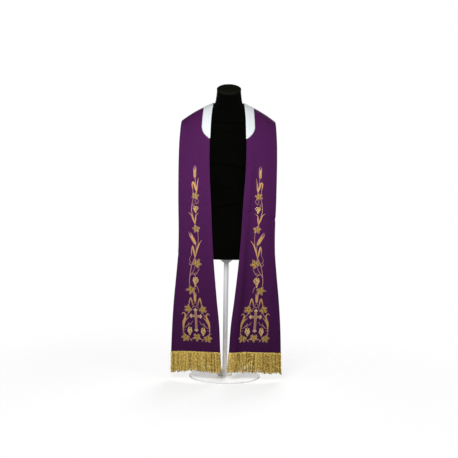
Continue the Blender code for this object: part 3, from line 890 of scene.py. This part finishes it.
def axes_on(place, ahead, up):
    """Three unit axes at a place: forward, sideways and up, with forward kept square to up."""
    up = up / np.linalg.norm(up)
    ahead = ahead - up * (ahead @ up)
    ahead = ahead / np.linalg.norm(ahead)
    return place, ahead, np.cross(up, ahead), up


# %% [markdown]
# ## Crochet edging and tacking stitches
#
# The guard's outer edge is finished with a narrow crochet picot: a row of thread loops, each lapping
# the next. A loop is a small torus with few sides, slightly flattened. On the neck side the guard is
# held by slanted tacking stitches, short rods of thread that dip into the cotton at both ends.

# %% Picot loops
LOOP_PITCH = 2.9 * MM
LOOP_RADIUS = 1.75 * MM
LOOP_THREAD = 0.42 * MM
EDGE_STEP = 0.2 * MM                   # between the points at which the guard's edge is measured

bpy.ops.mesh.primitive_torus_add(
    major_radius=LOOP_RADIUS, minor_radius=LOOP_THREAD, major_segments=12, minor_segments=5)
loop = bpy.context.object
edge_reach = np.linspace(-GUARD_REACH, GUARD_REACH, int(2 * GUARD_REACH / EDGE_STEP))
edge = at_neck(edge_reach, guard_width(edge_reach), LAYER_GAP + GUARD_THICKNESS / 2)
above = at_neck(edge_reach, guard_width(edge_reach), guard_top)
edge_length = distances(edge)
frames = []
for number, at in enumerate(np.arange(LOOP_PITCH, edge_length[-1] - LOOP_PITCH, LOOP_PITCH)):
    here = int(np.searchsorted(edge_length, at))
    frames.append(axes_on(edge[here], edge[here + 3] - edge[here - 3], above[here] - edge[here]))
picots = copies("guard_picots", loop, frames, cotton)

# %% Tacking stitches
TACK_LENGTH = 5.0 * MM
TACK_THREAD = 0.35 * MM
TACK_INSET = 4.0 * MM                  # from the neck edge
TACK_SLANT = 3.0 * MM                  # as far along as inwards

bpy.ops.mesh.primitive_uv_sphere_add(segments=8, ring_count=6, radius=1.0)
rod = bpy.context.object
tack_reach = np.arange(-GUARD_REACH + TACK_PITCH, GUARD_REACH - TACK_PITCH / 2, TACK_PITCH)
low = at_neck(tack_reach, TACK_INSET, guard_top)
raised = at_neck(tack_reach, TACK_INSET, guard_top + 1 * MM)
slanted = at_neck(tack_reach + TACK_SLANT, TACK_INSET + TACK_SLANT, guard_top)
frames = []
for place, above_it, ahead in zip(low, raised, slanted):
    origin, x, y, z = axes_on(place, ahead - place, above_it - place)
    frames.append((origin, x * TACK_LENGTH / 2, y * TACK_THREAD, z * TACK_THREAD))
tacks = copies("guard_tacks", rod, frames, cotton)

# %% [markdown]
# ## Gold thread
#
# Bullion and embroidery thread is a thin foil of metal or metallised film wound round a yarn. It is
# a metal to the eye, but every turn faces another way, so it glitters instead of mirroring. That is
# a metallic shader of middling roughness, with the winding as a bump and with some strands lighter than
# others, as new and rubbed thread lie side by side. Each copy of a strand carries one number for that.
# Small lighter and darker patches along the strands are painted glints of the twist and painted shade
# in the gaps between strands.

# %% Gold materials
WINDING_PITCH = 1.0 * MM               # real windings are 0.3 mm apart; drawn coarser so that they show
WINDING_SLANT = math.radians(35)


def bullion_thread():
    """Metallic thread with slanting windings, and a tone of its own for each strand."""
    finish, tree, shader = new_finish("gold_bullion_thread", {"Roughness": 0.42, "Metallic": 0.5})
    place = object_place(tree)
    turned = add_node(tree, "ShaderNodeMapping", None, {
        "Vector": place, "Rotation": (0.0, WINDING_SLANT, 0.0)})
    emboss(tree, shader, bands(tree, turned.outputs["Vector"], "Z", WINDING_PITCH, 0.8), 0.6, 0.25 * MM)
    number = add_node(tree, "ShaderNodeAttribute", {"attribute_name": "thread"}).outputs["Fac"]
    # Painted glints and painted shade: lighter and darker patches along the strands.
    painted_glints_and_gap_shade = maths(tree, "MULTIPLY_ADD", noise(tree, place, 190.0, 2.0), 2.6, -1.3)
    paint(tree, shader, blend(tree, maths(tree, "ADD", number, painted_glints_and_gap_shade, clamp=True), "886816", "FFE280"))
    return finish


bullion = bullion_thread()

# %% [markdown]
# ## The fringe's heading
#
# A bullion fringe is bought by the metre. Its strands hang from a woven heading, and the heading is
# sewn to the front of the hem. A flat strip would look like tape, so the picks of its weave are
# modelled: slanting ribs that change direction half way up, like a row of arrows.

# %% Woven heading
HEADING_HEIGHT = 8 * MM
HEADING_THICKNESS = 2.4 * MM
HEADING_LEVELS = 8
RIB_PITCH = 2.4 * MM
RIB_HEIGHT = 0.45 * MM
RIB_STEPS = 5                          # points across one rib
RIB_SLANT = 1.4                        # ribs that it moves over by, from the middle to an edge, twice
HEADING_TONE = 0.55                    # from 0, dark thread, to 1, light


def heading_places(panel, upwards, share, height):
    """Places on the hem: upwards from it, at a share of the cloth's width, at a height above it."""
    step = panel.along[-1] / PANEL_ROWS
    return on_cloth(panel, PANEL_ROWS - upwards / step, share * PANEL_COLUMNS, height)


for side, panel in panels.items():
    ribs = int(panel.across[-1, -1] / RIB_PITCH)
    up, share = np.meshgrid(
        np.linspace(0, 1, HEADING_LEVELS + 1), np.linspace(0, 1, ribs * RIB_STEPS + 1), indexing="ij")
    arrow = share * ribs + np.abs(up - 0.5) * RIB_SLANT
    rib = (0.5 - 0.5 * np.cos(2 * math.pi * arrow)) * RIB_HEIGHT * np.sin(math.pi * up) ** 0.5
    height = LAYER_GAP + HEADING_THICKNESS - RIB_HEIGHT + rib
    places = heading_places(panel, (1 - up) * HEADING_HEIGHT, share, height)
    heading = cloth_wall(f"fringe_heading_{side}", panel_of(places), HEADING_THICKNESS - RIB_HEIGHT,
                         [bullion], 0.3 * MM)
    number_points(heading, "thread", np.full(len(heading.data.vertices), HEADING_TONE))
    print(heading.name, "has", ribs, "ribs")

# %% [markdown]
# ## A twisted strand
#
# One strand of bullion is two plies twisted together. An oval that is swept upwards while it turns
# gives just that shape, and the Screw modifier sweeps and turns in one step. It starts as a circle
# primitive, squeezed in edit mode, and is closed at both ends afterwards.

# %% Two-ply strand, one metre long until it is hung
def twisted(name, radius, squeeze, sides, turns, steps):
    """An upright twisted strand from z = 0 down to z = -1, about the Z axis."""
    bpy.ops.mesh.primitive_circle_add(vertices=sides, radius=radius)
    strand = bpy.context.object
    strand.name = name
    with edit_mode():
        bpy.ops.transform.resize(value=(1.0, squeeze, 1.0))
    apply_modifier(strand, "SCREW", {
        "angle": turns * 2 * math.pi, "screw_offset": -1.0, "steps": steps, "render_steps": steps,
        "use_smooth_shade": True})
    with edit_mode():
        bpy.ops.mesh.fill_holes(sides=0)
    with edit_mode():
        bpy.ops.mesh.normals_make_consistent(inside=False)
    return strand


# %% [markdown]
# ## The strands of the fringe
#
# The strands hang in three staggered rows, straight down but not quite: each sways and drifts a little,
# the outermost fan out past the cloth, and no two end at the same height. The sway is a smooth wave
# whose size comes from a fixed formula, so the fringe is the same every time it is made. Neighbours
# lean together at their ends, the way real bullion clings, which opens small gaps between clumps.

# %% Hang the strands
STRANDS = 74                           # in each of the three rows
STRAND_LENGTH = 90 * MM
STRAND_RADIUS = 1.8 * MM
STRAND_ROOT = 2 * MM                   # above the hem, where a strand begins
PLY_SQUEEZE, PLY_SIDES, PLY_TURNS, PLY_STEPS = 0.62, 7, 6.5, 48
STAGGER = 0.36                         # of a space between strands, from row to row
LAST_SHARE = 0.996                     # of the hem's width, so that the last strand isn't off the cloth
UNEVENNESS = 8 * MM
SWAY = 2.2 * MM
CLUMP = 4                              # strands whose ends lean towards one another
CLING = 0.27                           # how far their ends close the space between them
ROW_DEPTHS = (0.8 * MM, 1.9 * MM, 2.9 * MM)  # of the rows, out from the cloth's face
FAN = {"left": (8 * MM, -2 * MM), "right": (10 * MM, 4 * MM)}  # at the inner and the outer end
HANG_PLACES = (0.0, 0.25, 0.5, 0.75, 1.0)  # shares of the hem, from the inner to the outer end
HANG = {                               # added there to the strands' length, in millimetres
    "left": (-4.5, -7.0, -11.0, -6.0, -5.0), "right": (-11.5, -7.0, -5.5, -5.0, -4.5)}


def wobble(seed):
    """A value from -1 to 1 that looks random but is always the same for one seed."""
    return 2 * (math.sin(seed * 12.9898) * 43758.5453 % 1) - 1


def hang(strand, root, drift, length, seed):
    """The strand's points at its root, drifting sideways and swaying on the way down."""
    down = -strand[:, 2]
    wave = wobble(seed + 0.5) * np.sin(math.pi * down * (1.4 + wobble(seed + 0.7)))
    curl = 0.3 * np.sin(2 * math.pi * down * (3 + wobble(seed + 0.4)) + 3 * wobble(seed + 0.6))
    places = strand * (1, 1, length) + root
    places[:, 0] += drift * down**1.6 + SWAY * (wave + curl) * down**0.6
    places[:, 1] += 0.6 * SWAY * wobble(seed + 0.9) * down
    return places


def fringe(name, side):
    shape = twisted("strand", STRAND_RADIUS, PLY_SQUEEZE, PLY_SIDES, PLY_TURNS, PLY_STEPS)
    base, faces = points_and_faces(shape)
    base[:, :2] *= np.interp(-base[:, 2], [0.955, 0.98, 1.0], [1.0, 0.85, 0.4])[:, None]
    inner, outer = FAN[side]
    outwards = 1 if side == "right" else -1
    pitch = panels[side].across[-1, -1] / STRANDS
    parts, tones = [], []
    for row, depth in enumerate(ROW_DEPTHS):
        for number in range(STRANDS):
            seed = number + 211 * row + (97 if side == "left" else 0)
            share = (number + STAGGER * row + 0.14 + 0.12 * wobble(seed)) / STRANDS
            root = heading_places(panels[side], STRAND_ROOT, min(share, LAST_SHARE), LAYER_GAP + depth)
            clump = number // CLUMP
            cling = CLING + 0.14 * wobble(clump + 0.35)
            together = (CLUMP / 2 - 0.5 - number % CLUMP) * pitch * cling
            drift = outer * share**3 - inner * (1 - share) ** 3 + together + 0.6 * MM * wobble(seed + 0.1)
            length = STRAND_LENGTH + STRAND_ROOT + UNEVENNESS * wobble(seed + 0.2) * 0.75
            length += UNEVENNESS * 0.4 * wobble(clump + 0.65 + len(side))
            length += MM * float(np.interp(share, HANG_PLACES, HANG[side]))
            turn = 2.4 * seed
            spun = base @ np.array([
                (math.cos(turn), math.sin(turn), 0), (-math.sin(turn), math.cos(turn), 0), (0, 0, 1)])
            parts.append((hang(spun, root, drift * outwards, length, seed), faces))
            tones.append(0.45 + 0.35 * wobble(seed + 0.3))
    made = joined(name, parts, bullion)
    number_points(made, "thread", np.repeat(tones, len(base)))
    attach(made, "root")
    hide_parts(f"fringe_{side}")
    print(name, "ends at", round(min(places[:, 2].min() for places, _ in parts), 4))
    return made


fringes = {side: fringe(f"bullion_fringe_{side}", side) for side in panels}

# %% [markdown]
# ## Shapes made of stitches
#
# The embroidery is machine satin stitch: close parallel threads laid across a narrow shape, over a
# little padding, so each shape is a low dome. A bevelled curve would give the dome, but its stitches
# couldn't be told to run across it. So these meshes are written point by point, flat and in
# millimetres, and each point carries a number that grows from stitch to stitch. The material turns
# that number into threads, whatever way the shape is turned.

# %% Strokes of satin stitch
Shape = namedtuple("Shape", "points faces stitch")  # points: across, above the floor, raised (in mm)
SUNK = 0.15                            # how deep the rim of a shape lies in the cloth
RING = np.array([-1.0, -0.82, -0.45, 0.0, 0.45, 0.82, 1.0])


def satin(line, height=0.9, groove=0.0, slant=0.4, step=2.0):
    """A closed dome along a line of (across, above, half-width); a groove gives it a midrib."""
    line = np.array(line, float)
    at = distances(line[:, :2])
    if step:
        even = np.linspace(0, at[-1], max(round(at[-1] / step), 3) + 1)
        line, at = read_between(line, at, even), even
    half = np.maximum(line[:, 2:], 0.15)
    ahead = np.gradient(line[:, :2], axis=0)
    ahead /= np.linalg.norm(ahead, axis=1, keepdims=True)
    beside = np.stack([-ahead[:, 1], ahead[:, 0]], axis=1)
    places = line[:, None, :2] + beside[:, None] * (half * RING)[:, :, None]
    raised = height * np.minimum(half / 1.2, 1) ** 0.5 * (np.sqrt(1 - RING**2) - groove * (RING == 0))
    raised[:, [0, -1]] = -SUNK
    stitch = at[:, None] + half * slant * (np.abs(RING) if groove else RING)
    n, rings = len(RING), len(line)
    faces = [(r * n + c, r * n + (c + 1) % n, r * n + n + (c + 1) % n, r * n + n + c)
             for r in range(rings - 1) for c in range(n)]
    faces += [tuple(range(n)), tuple(range(rings * n - n, rings * n))]
    return Shape(np.dstack([places, raised]).reshape(-1, 3), faces, stitch.ravel())


def oval(length, half_width, height=1.3):
    """One padded grain or berry, from the origin upwards."""
    t = -np.cos(np.linspace(0.12, math.pi - 0.12, 8))
    line = np.stack([0 * t, (t + 1) * length / 2, half_width * np.sqrt(1 - t**2)], 1)
    return satin(line, height, 0, 0.3, 0)


def moved(shapes, across, above, turn=0.0, mirror=1):
    """The shapes at a place; a positive turn leans them towards the neck side."""
    c, s = math.cos(math.radians(turn)), math.sin(math.radians(turn))
    result = []
    for shape in shapes:
        x, y, raised = shape.points.T
        flat = np.stack([mirror * (across + x * c + y * s), above - x * s + y * c, raised], 1)
        result.append(Shape(flat, shape.faces, shape.stitch))
    return result


# %% [markdown]
# ## The motifs
#
# Wheat and vine stand for bread and wine, and have been worked on vestments for centuries. Each kind
# is drawn once by a rule: an ear is pairs of grains with awns, a leaf is a circle pulled out into five
# lobes with toothed edges, a bunch is rows of berries. Rules keep the copies alike without being
# rigid, because each is given its own size and turn.

# %% Ear of wheat
GRAIN_PITCH = 5.5                      # mm between one pair and the next


def ear(length, width, awns):
    """Pairs of grains beside a bright middle row, and a fan of awns, from the origin upwards."""
    husks, grains, hairs = [], [], []
    pairs = round(length / GRAIN_PITCH)
    for pair in range(pairs):
        height = length * 0.84 * pair / pairs
        full = 0.62 + 0.38 * math.sin(math.pi * (pair + 0.8) / (pairs + 0.4))
        grains += moved([oval(length * 0.17, width * 0.11 * full)], 0, height)
        for side in (-1, 1):
            husk = [oval(length * 0.25, width * 0.13)]
            husks += moved(husk, side * width * 0.16 * full, height, side * 27 * full)
            fan = width * (0.46 - 0.30 * pair / pairs)
            tip = length + awns * (0.25 + 0.7 * pair / pairs)
            hairs.append(satin([
                (side * width * 0.22 * full, height + length * 0.2, 0.4), (side * fan, tip * 0.8, 0.36),
                (side * fan, tip, 0.2)], 0.6))
    grains += moved([oval(length * 0.24, width * 0.12)], 0, length * 0.76)
    hairs.append(satin([(0, length, 0.4), (0.6, length + awns * 0.6, 0.36), (0, length + awns, 0.2)], 0.6))
    return husks, grains, hairs


# %% Vine leaf
LOBES = ((0, 1.05), (58, 0.96), (-58, 0.96), (118, 0.80), (-118, 0.80))  # turn from the tip, reach
LEAF_SECTORS = 90
LEAF_BODY = 0.46                       # reach between the lobes, as a share of the leaf's size
LOBE_SPREAD, STALK_SPREAD = 20.0, 15.0  # degrees over which a lobe, or the notch at the stalk, fades
LOBE_SHAPE = [                             # share of a lobe's length, half-width as a share of the size
    (0.15, 0.03), (0.34, 0.12), (0.44, 0.15), (0.52, 0.135), (0.63, 0.15), (0.73, 0.105), (0.83, 0.1),
    (1, 0.01)]


def leaf_reach(turns):
    """The edge of a leaf of size 1 in each direction, in degrees from its tip."""
    away = (turns[:, None] - [lobe[0] for lobe in LOBES] + 180) % 360 - 180
    beyond = np.array([lobe[1] for lobe in LOBES]) - LEAF_BODY
    lobes = (beyond * np.exp(-((away / LOBE_SPREAD) ** 2))).sum(axis=1)
    notch = 1 - 0.62 * np.exp(-((((turns % 360) - 180) / STALK_SPREAD) ** 2))
    return (LEAF_BODY + lobes) * notch * (1 + 0.06 * np.sin(np.radians(turns) * 30))


def leaf(size):
    """Five padded lobes in an outline with open ground between them, the tip upwards."""
    turns = np.arange(0, 360, 360 / LEAF_SECTORS) + 180
    aim = np.stack([np.sin(np.radians(turns)), np.cos(np.radians(turns))], 1)
    edge = aim * (size * leaf_reach(turns))[:, None]
    closed = np.concatenate([edge, edge[:1]])
    outline = [satin(np.column_stack([closed, np.full(len(closed), 0.7)]), 1.0, 0, 0.4, 1.1)]
    lobes = []
    for turn, reach in LOBES:
        far = size * (reach - 0.17)
        teeth = [(0, far * t, size * w) for t, w in LOBE_SHAPE]
        lobes += moved([satin(teeth, 0.9, 0.45, -0.9, 1.0)], 0, 0, turn)
    return lobes, outline


# %% Bunch of grapes, tendril end and cross
def bunch(rows, radius):
    """Rows of berries, hanging down from the origin."""
    berries = []
    for number, count in enumerate(rows):
        for place in range(count):
            lean = 0.12 * radius * math.sin(number * 2.1 + place * 1.3)
            across = (place - (count - 1) / 2) * radius * 1.95 + lean
            above = -number * radius * 1.66 - radius * 1.9
            berry = [oval(radius * 1.7, radius * 0.84, 1.5)]
            berries += moved(berry, across, above, 20 * math.sin(number + place * 2.0))
    return berries


def curl(across, above, radius, start, turns, half_width=0.7):
    """A line of a spiral that tightens to its end, for a tendril."""
    t = np.linspace(0, 1, 14)
    angle = np.radians(start) + turns * 2 * math.pi * t
    reach = radius * (1 - 0.72 * t)
    line = across + reach * np.sin(angle), above + reach * np.cos(angle), half_width * (1 - 0.4 * t)
    return list(zip(*line))


def arm(length, half_width, end_width, end_depth):
    """One arm of the cross, upwards: a bar, and the cords at its edges with the flowered end."""
    bar = [satin([(0, -1, half_width), (0, length - end_depth * 0.6, half_width)], 0.8, 0, 0.0, 3.0)]
    low, high = half_width * 0.8, length - end_depth * 0.8
    cords = [satin([(side * half_width, low, 0.8), (side * half_width, high, 0.8)], 1.1, 0, 0.4, 3.0)
             for side in (-1, 1)]
    cords += moved([oval(end_depth, end_depth * 0.32, 1.1)], 0, length - end_depth)
    for side in (-1, 1):
        petal = [oval(end_width * 0.52, end_depth * 0.25, 1.1)]
        cords += moved(petal, 0, length - end_depth * 0.72, side * 72)
    return bar, cords


# %% [markdown]
# ## The design on each front
#
# The pattern climbs up the middle of each front: a cross among vine leaves, grapes and scrolls at the
# foot, then a thin stem with leaves, folded blades, grapes and two ears, ending in one upright ear.
# Places are in millimetres, across from the middle of the front towards the neck and up from the
# floor. Only one front is listed, since the other is its mirror image.

# %% Lists of the design
def on_both_sides(lines):
    """The lines mirrored, then the lines themselves."""
    return [[(way * across, above, half) for across, above, half in line]
            for way in (-1, 1) for line in lines]


LEAVES = [                             # across, above, size, turn
    (5, 840, 19.5, 20), (7.5, 697.5, 20, -150), (5.5, 535, 25, 33), (-17, 419, 23, 200),
    (-32, 330.5, 20.5, -125), (32, 330.5, 20.5, 125), (-51.5, 200, 21, -152), (51.5, 199, 21, 152),
    (1.5, 203, 20.5, 180)]
BUNCHES = [                            # across, above, rows of berries, their radius
    (6, 797, (3, 4, 3, 2, 1), 3.7), (0.5, 475.5, (3, 4, 4, 3, 2, 1, 1), 3.8),
    (-32, 245.5, (2, 3, 3, 2, 1), 4.4), (32, 245.5, (2, 3, 3, 2, 1), 4.4)]
EARS = [                               # across, above, turn, length, width, awns
    (6, 924, 1, 37, 15, 22), (2, 623.5, -29, 46, 16, 22), (-1, 361.5, 0, 36, 14, 9)]
BLADES = [                             # lines of across, above, half-width
    [(12.5, 859.5, 1.5), (13.8, 868.5, 3.0), (17.9, 895.5, 2.4), (23.7, 921.5, 0.6)],
    [(12, 861.5, 1.5), (7, 880.5, 4.4), (2, 898.5, 4.6), (-3, 907.5, 3.2)],
    [(-3, 908.5, 2.8), (-7, 900.5, 3.4), (-6, 883.5, 2.5), (-4, 870.5, 0.7)],
    [(-29, 769.5, 0.8), (-16.5, 759.5, 2.6), (-7, 737.5, 4.5), (0.5, 716.5, 1.6)],
    [(20, 765.5, 0.8), (6, 754.5, 2.3), (4.3, 737.5, 3.5), (1, 716.5, 1.6)],
    [(32, 643.5, 0.8), (19, 625.5, 2.4), (11, 607.5, 4.0), (1, 571, 1.4)],
    [(-0.5, 560, 1.5), (-7, 586, 4.2), (-11, 606, 4.0), (-13, 617, 2.6)],
    [(-13, 618, 2.5), (-16.5, 608, 2.8), (-19, 591, 2.0), (-19, 573, 0.6)]]
BLADES += on_both_sides((
    [(31, 343, 1.0), (28.5, 358, 2.4), (25, 372, 3.1), (22, 381, 2.3)],
    [(22, 381, 2.1), (17, 368, 2.8), (12.5, 343, 0.8)],
    [(61, 226, 1.0), (62.5, 239, 2.3), (61, 253, 4.7), (58, 269, 6.3), (53.5, 282, 5.0), (50, 294, 3.7),
     (51.5, 304.5, 2.8), (57, 310, 2.4), (62.5, 308, 1.8), (66, 302, 0.8)],
    [(54, 264, 1.0), (48, 277, 2.4), (42, 284, 1.9), (34, 291, 0.8)]))
STEMS = [
    [(7, 926, 0.9), (8, 910, 1.0), (8, 893, 1.0)],
    [(3, 846, 0.8), (-6, 825, 1.3), (-12, 800, 1.5), (-13, 771, 1.5), (-8, 754, 1.3)],
    [(0, 718, 1.3), (3, 708, 1.2), (6, 701, 1.0)],
    [(12, 686, 0.8), (14, 676, 0.9), (14.5, 636, 1.0), (10, 602, 1.0), (2, 571, 1.2)],
    [(2, 625, 0.9), (4, 608, 1.0), (1.5, 584, 1.0), (0.5, 566, 1.2)],
    [(0, 570, 1.3), (-5, 558, 1.4), (-11, 546, 1.5), (-17, 532, 1.6), (-20, 518, 1.6), (-24, 501, 1.6),
     (-26.5, 480, 1.7), (-28.5, 459, 1.7), (-26.5, 436, 1.4)],
    [(0, 527, 0.8), (-4.5, 514, 1.1), (-11.3, 499, 1.3), (-18, 490, 1.4), (-25, 478, 1.4)],
    [(-17, 490, 1.2), (-8, 487, 1.3), (-1, 481.5, 1.2), (2, 474, 0.9)],
    [(-14, 405, 0.9), (-5, 393, 1.0), (-2, 379, 1.0), (-1, 362, 1.0)],
    [(-12.5, 803, 0.9), (-5, 802, 1.0), (3, 796, 0.8)]]
STEMS += on_both_sides((
    [(0, 359, 0.8), (9, 348.5, 0.9), (0, 338, 0.7)],
    [(34, 314, 0.8), (38, 304, 1.0), (43, 296, 0.9)],
    [(60, 229, 1.2), (62, 221, 1.3), (56, 212, 1.2)],
    [(43, 198, 0.9), (31, 189.5, 1.3), (19, 194, 1.3), (9, 201, 0.9)],
    [(59, 243, 0.9), (50, 245, 1.1), (41, 254, 1.3), (36.5, 260, 1.1), (35.5, 268, 0.7)],
    [(32, 244, 0.8), (34, 250, 1.0), (40, 255, 0.9)]))
TENDRILS = [
    [(12, 829, 0.8), (18, 825, 0.9), (21, 816, 0.8), (17, 808, 0.5)],
    [(5, 827, 0.7), (6.5, 813, 0.9), (10, 806, 0.9), (14, 809, 0.8), (14, 816, 0.6)],
    curl(-2, 809, 4.5, 90, 0.9), [(-4, 871, 0.6), (-4.5, 863, 1.0), (-1, 855, 0.9)],
    [(-19, 575, 0.6), (-26, 562, 0.8), (-28.5, 549, 0.9), (-20, 537, 0.8)],
    [(-31, 538, 0.7), (-27, 531, 1.2), (-19, 525, 1.0)],
    curl(4, 495, 4.0, 200, 0.8),
    [(-9, 494, 0.9), (-3, 489, 1.0), (4, 488, 1.1), (9, 495, 1.1), (16.5, 509, 1.0), (20, 514, 0.7)],
    [(3, 440, 0.8), (11, 427, 1.1), (16, 416, 1.0), (17, 405, 0.6)],
    [(-36, 419, 0.8), (-42, 416, 1.0), (-46, 409, 0.7)]]
TENDRILS += on_both_sides((
    [(16, 274, 0.7), (21, 266.5, 1.0), (26, 259, 1.1), (31, 259, 0.9), (37, 262, 0.8)],
    curl(66, 231, 4.0, 200, 0.9), curl(65, 218, 3.6, 20, 0.9), curl(55, 234, 4.0, 105, 0.85),
    [(31, 190, 1.0), (27, 184, 1.4), (22, 181, 0.6)], [(12, 204, 0.8), (10, 212, 1.3), (6, 218, 0.7)],
    [(7, 341, 0.8), (12, 337.5, 1.4), (15, 332, 0.7)], [(45, 320, 0.6), (51, 326, 0.9), (55, 322, 0.5)],
    [(48, 290, 0.8), (44, 298, 0.9), (46, 305, 0.6)]))
CROSS = (0, 296.5)
CROSS_ARMS = [(0, 37), (90, 31), (180, 72), (-90, 31)]  # turn, length
LEAN, LEAN_BELOW = 0.040, 345          # the foot of the design leans towards the neck side, from here down
ARM_HALF_WIDTH, ARM_END_WIDTH, ARM_END_DEPTH = 4.4, 20, 14
print(len(LEAVES), "leaves,", len(BUNCHES), "bunches,", len(EARS), "ears,", len(BLADES), "blades")

# %% [markdown]
# ## Thread colours
#
# Six threads are used. The leaves are worked in an olive gold, grapes, grains and the leaves'
# outlines in a bright one, blades and husks in a tan one, and stems and awns in a rose one. The
# cross is a dusky gold inside pale cords. All are glossy along each thread and grooved between.

# %% Embroidery threads
STITCH_PITCH = 0.8                     # mm; real threads lie 0.4 mm apart, drawn coarser so that they show


def embroidery_thread(name, dark, light):
    finish, tree, shader = new_finish(name, {"Roughness": 0.42, "Metallic": 0.35, "Specular IOR Level": 0.4})
    number = add_node(tree, "ShaderNodeAttribute", {"attribute_name": "stitch"}).outputs["Fac"]
    ridge = maths(tree, "SINE", maths(tree, "MULTIPLY", number, 2 * math.pi / STITCH_PITCH))
    height = remap(tree, ridge, (-1.0, 1.0), (0.0, 1.0))
    emboss(tree, shader, height, 0.6, 0.2 * MM)
    patches = noise(tree, object_place(tree), 220.0, 3.0)
    tone = maths(tree, "MULTIPLY_ADD", height, 0.5, patches, clamp=True)
    paint(tree, shader, blend(tree, tone, dark, light))
    return finish


THREADS = {
    "leaves": embroidery_thread("olive_gold_thread", "7A5A12", "DAB042"),
    "grains": embroidery_thread("bright_gold_thread", "B48A40", "E8C684"),
    "blades": embroidery_thread("tan_gold_thread", "865A36", "CE9E64"),
    "stems": embroidery_thread("rose_gold_thread", "8A5E50", "C89886"),
    "cross": embroidery_thread("dusky_gold_thread", "6A4638", "A47860"),
    "outlines": embroidery_thread("pale_gold_thread", "94744E", "D8B292"),
}

# %% [markdown]
# ## Sew the design on
#
# The flat shapes of one kind of thread become one piece on each front. A shape's place above the
# floor picks the row of the panel, its place across picks the column, and its relief is laid along
# the cloth's normal, so the design follows every fold.

# %% Gather the flat shapes
work = {kind: [] for kind in THREADS}
for across, above, size, turn in LEAVES:
    lobes, outline = leaf(size)
    work["leaves"] += moved(lobes, across, above, turn)
    work["grains"] += moved(outline, across, above, turn)
for across, above, rows, radius in BUNCHES:
    work["grains"] += moved(bunch(rows, radius), across, above)
for across, above, turn, length, width, awns in EARS:
    husks, grains, hairs = ear(length, width, awns)
    work["blades"] += moved(husks, across, above, turn)
    work["grains"] += moved(grains, across, above, turn)
    work["stems"] += moved(hairs, across, above, turn)
work["blades"] += [satin(line, 0.9, 0.35, -0.9) for line in BLADES]
work["stems"] += [satin([(a, z, 1.05 * w) for a, z, w in line], 0.8) for line in STEMS + TENDRILS]
for turn, length in CROSS_ARMS:
    bar, cords = arm(length, ARM_HALF_WIDTH, ARM_END_WIDTH, ARM_END_DEPTH)
    work["cross"] += moved(bar, *CROSS, turn)
    work["outlines"] += moved(cords, *CROSS, turn)


# %% Lay them on both fronts
def embroider(name, side, shapes, finish):
    panel = panels[side]
    middle = panel.points[:, PANEL_COLUMNS // 2, 2]
    rows = np.arange(len(middle))
    shoulder = int(middle.argmax())
    parts = []
    for shape in shapes:
        across, above, raised = shape.points.T
        across = across + LEAN * np.maximum(LEAN_BELOW - above, 0)
        row = np.interp(-above * MM, -middle[shoulder:], rows[shoulder:])
        width = np.interp(row, rows, panel.across[:, -1])
        column = PANEL_COLUMNS * (0.5 - across * MM / width)
        parts.append((on_cloth(panel, row, column, raised * MM), shape.faces))
    piece = joined(name, parts, finish)
    number_points(piece, "stitch", np.concatenate([shape.stitch for shape in shapes]))
    select_only(piece)
    with edit_mode():
        bpy.ops.mesh.normals_make_consistent(inside=False)
    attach(piece, "root")
    return piece


embroidery = {
    side: [embroider(f"embroidered_{kind}_{side}", side, work[kind], THREADS[kind]) for kind in THREADS]
    for side in panels}

# %% [markdown]
# ## The area of the cloth
#
# The area of each piece of cloth is worked out from its panel and printed: the two halves and the
# guard. The two halves hang from the shoulders and the neck of the form, and carry the fringe, the
# embroidery and the guard.


def surface(panel):
    """The panel's area in square metres."""
    p = panel.points
    first = np.cross(p[1:, :-1] - p[:-1, :-1], p[1:, 1:] - p[:-1, :-1])
    second = np.cross(p[1:, 1:] - p[:-1, :-1], p[:-1, 1:] - p[:-1, :-1])
    return float((np.linalg.norm(first, axis=2) + np.linalg.norm(second, axis=2)).sum() / 2)


for side, half in halves.items():
    area = surface(panels[side])
    print(half.name, "area", round(area, 4), "square metres")
guard_area = surface(guard_panel)
print(guard.name, "area", round(guard_area, 4), "square metres")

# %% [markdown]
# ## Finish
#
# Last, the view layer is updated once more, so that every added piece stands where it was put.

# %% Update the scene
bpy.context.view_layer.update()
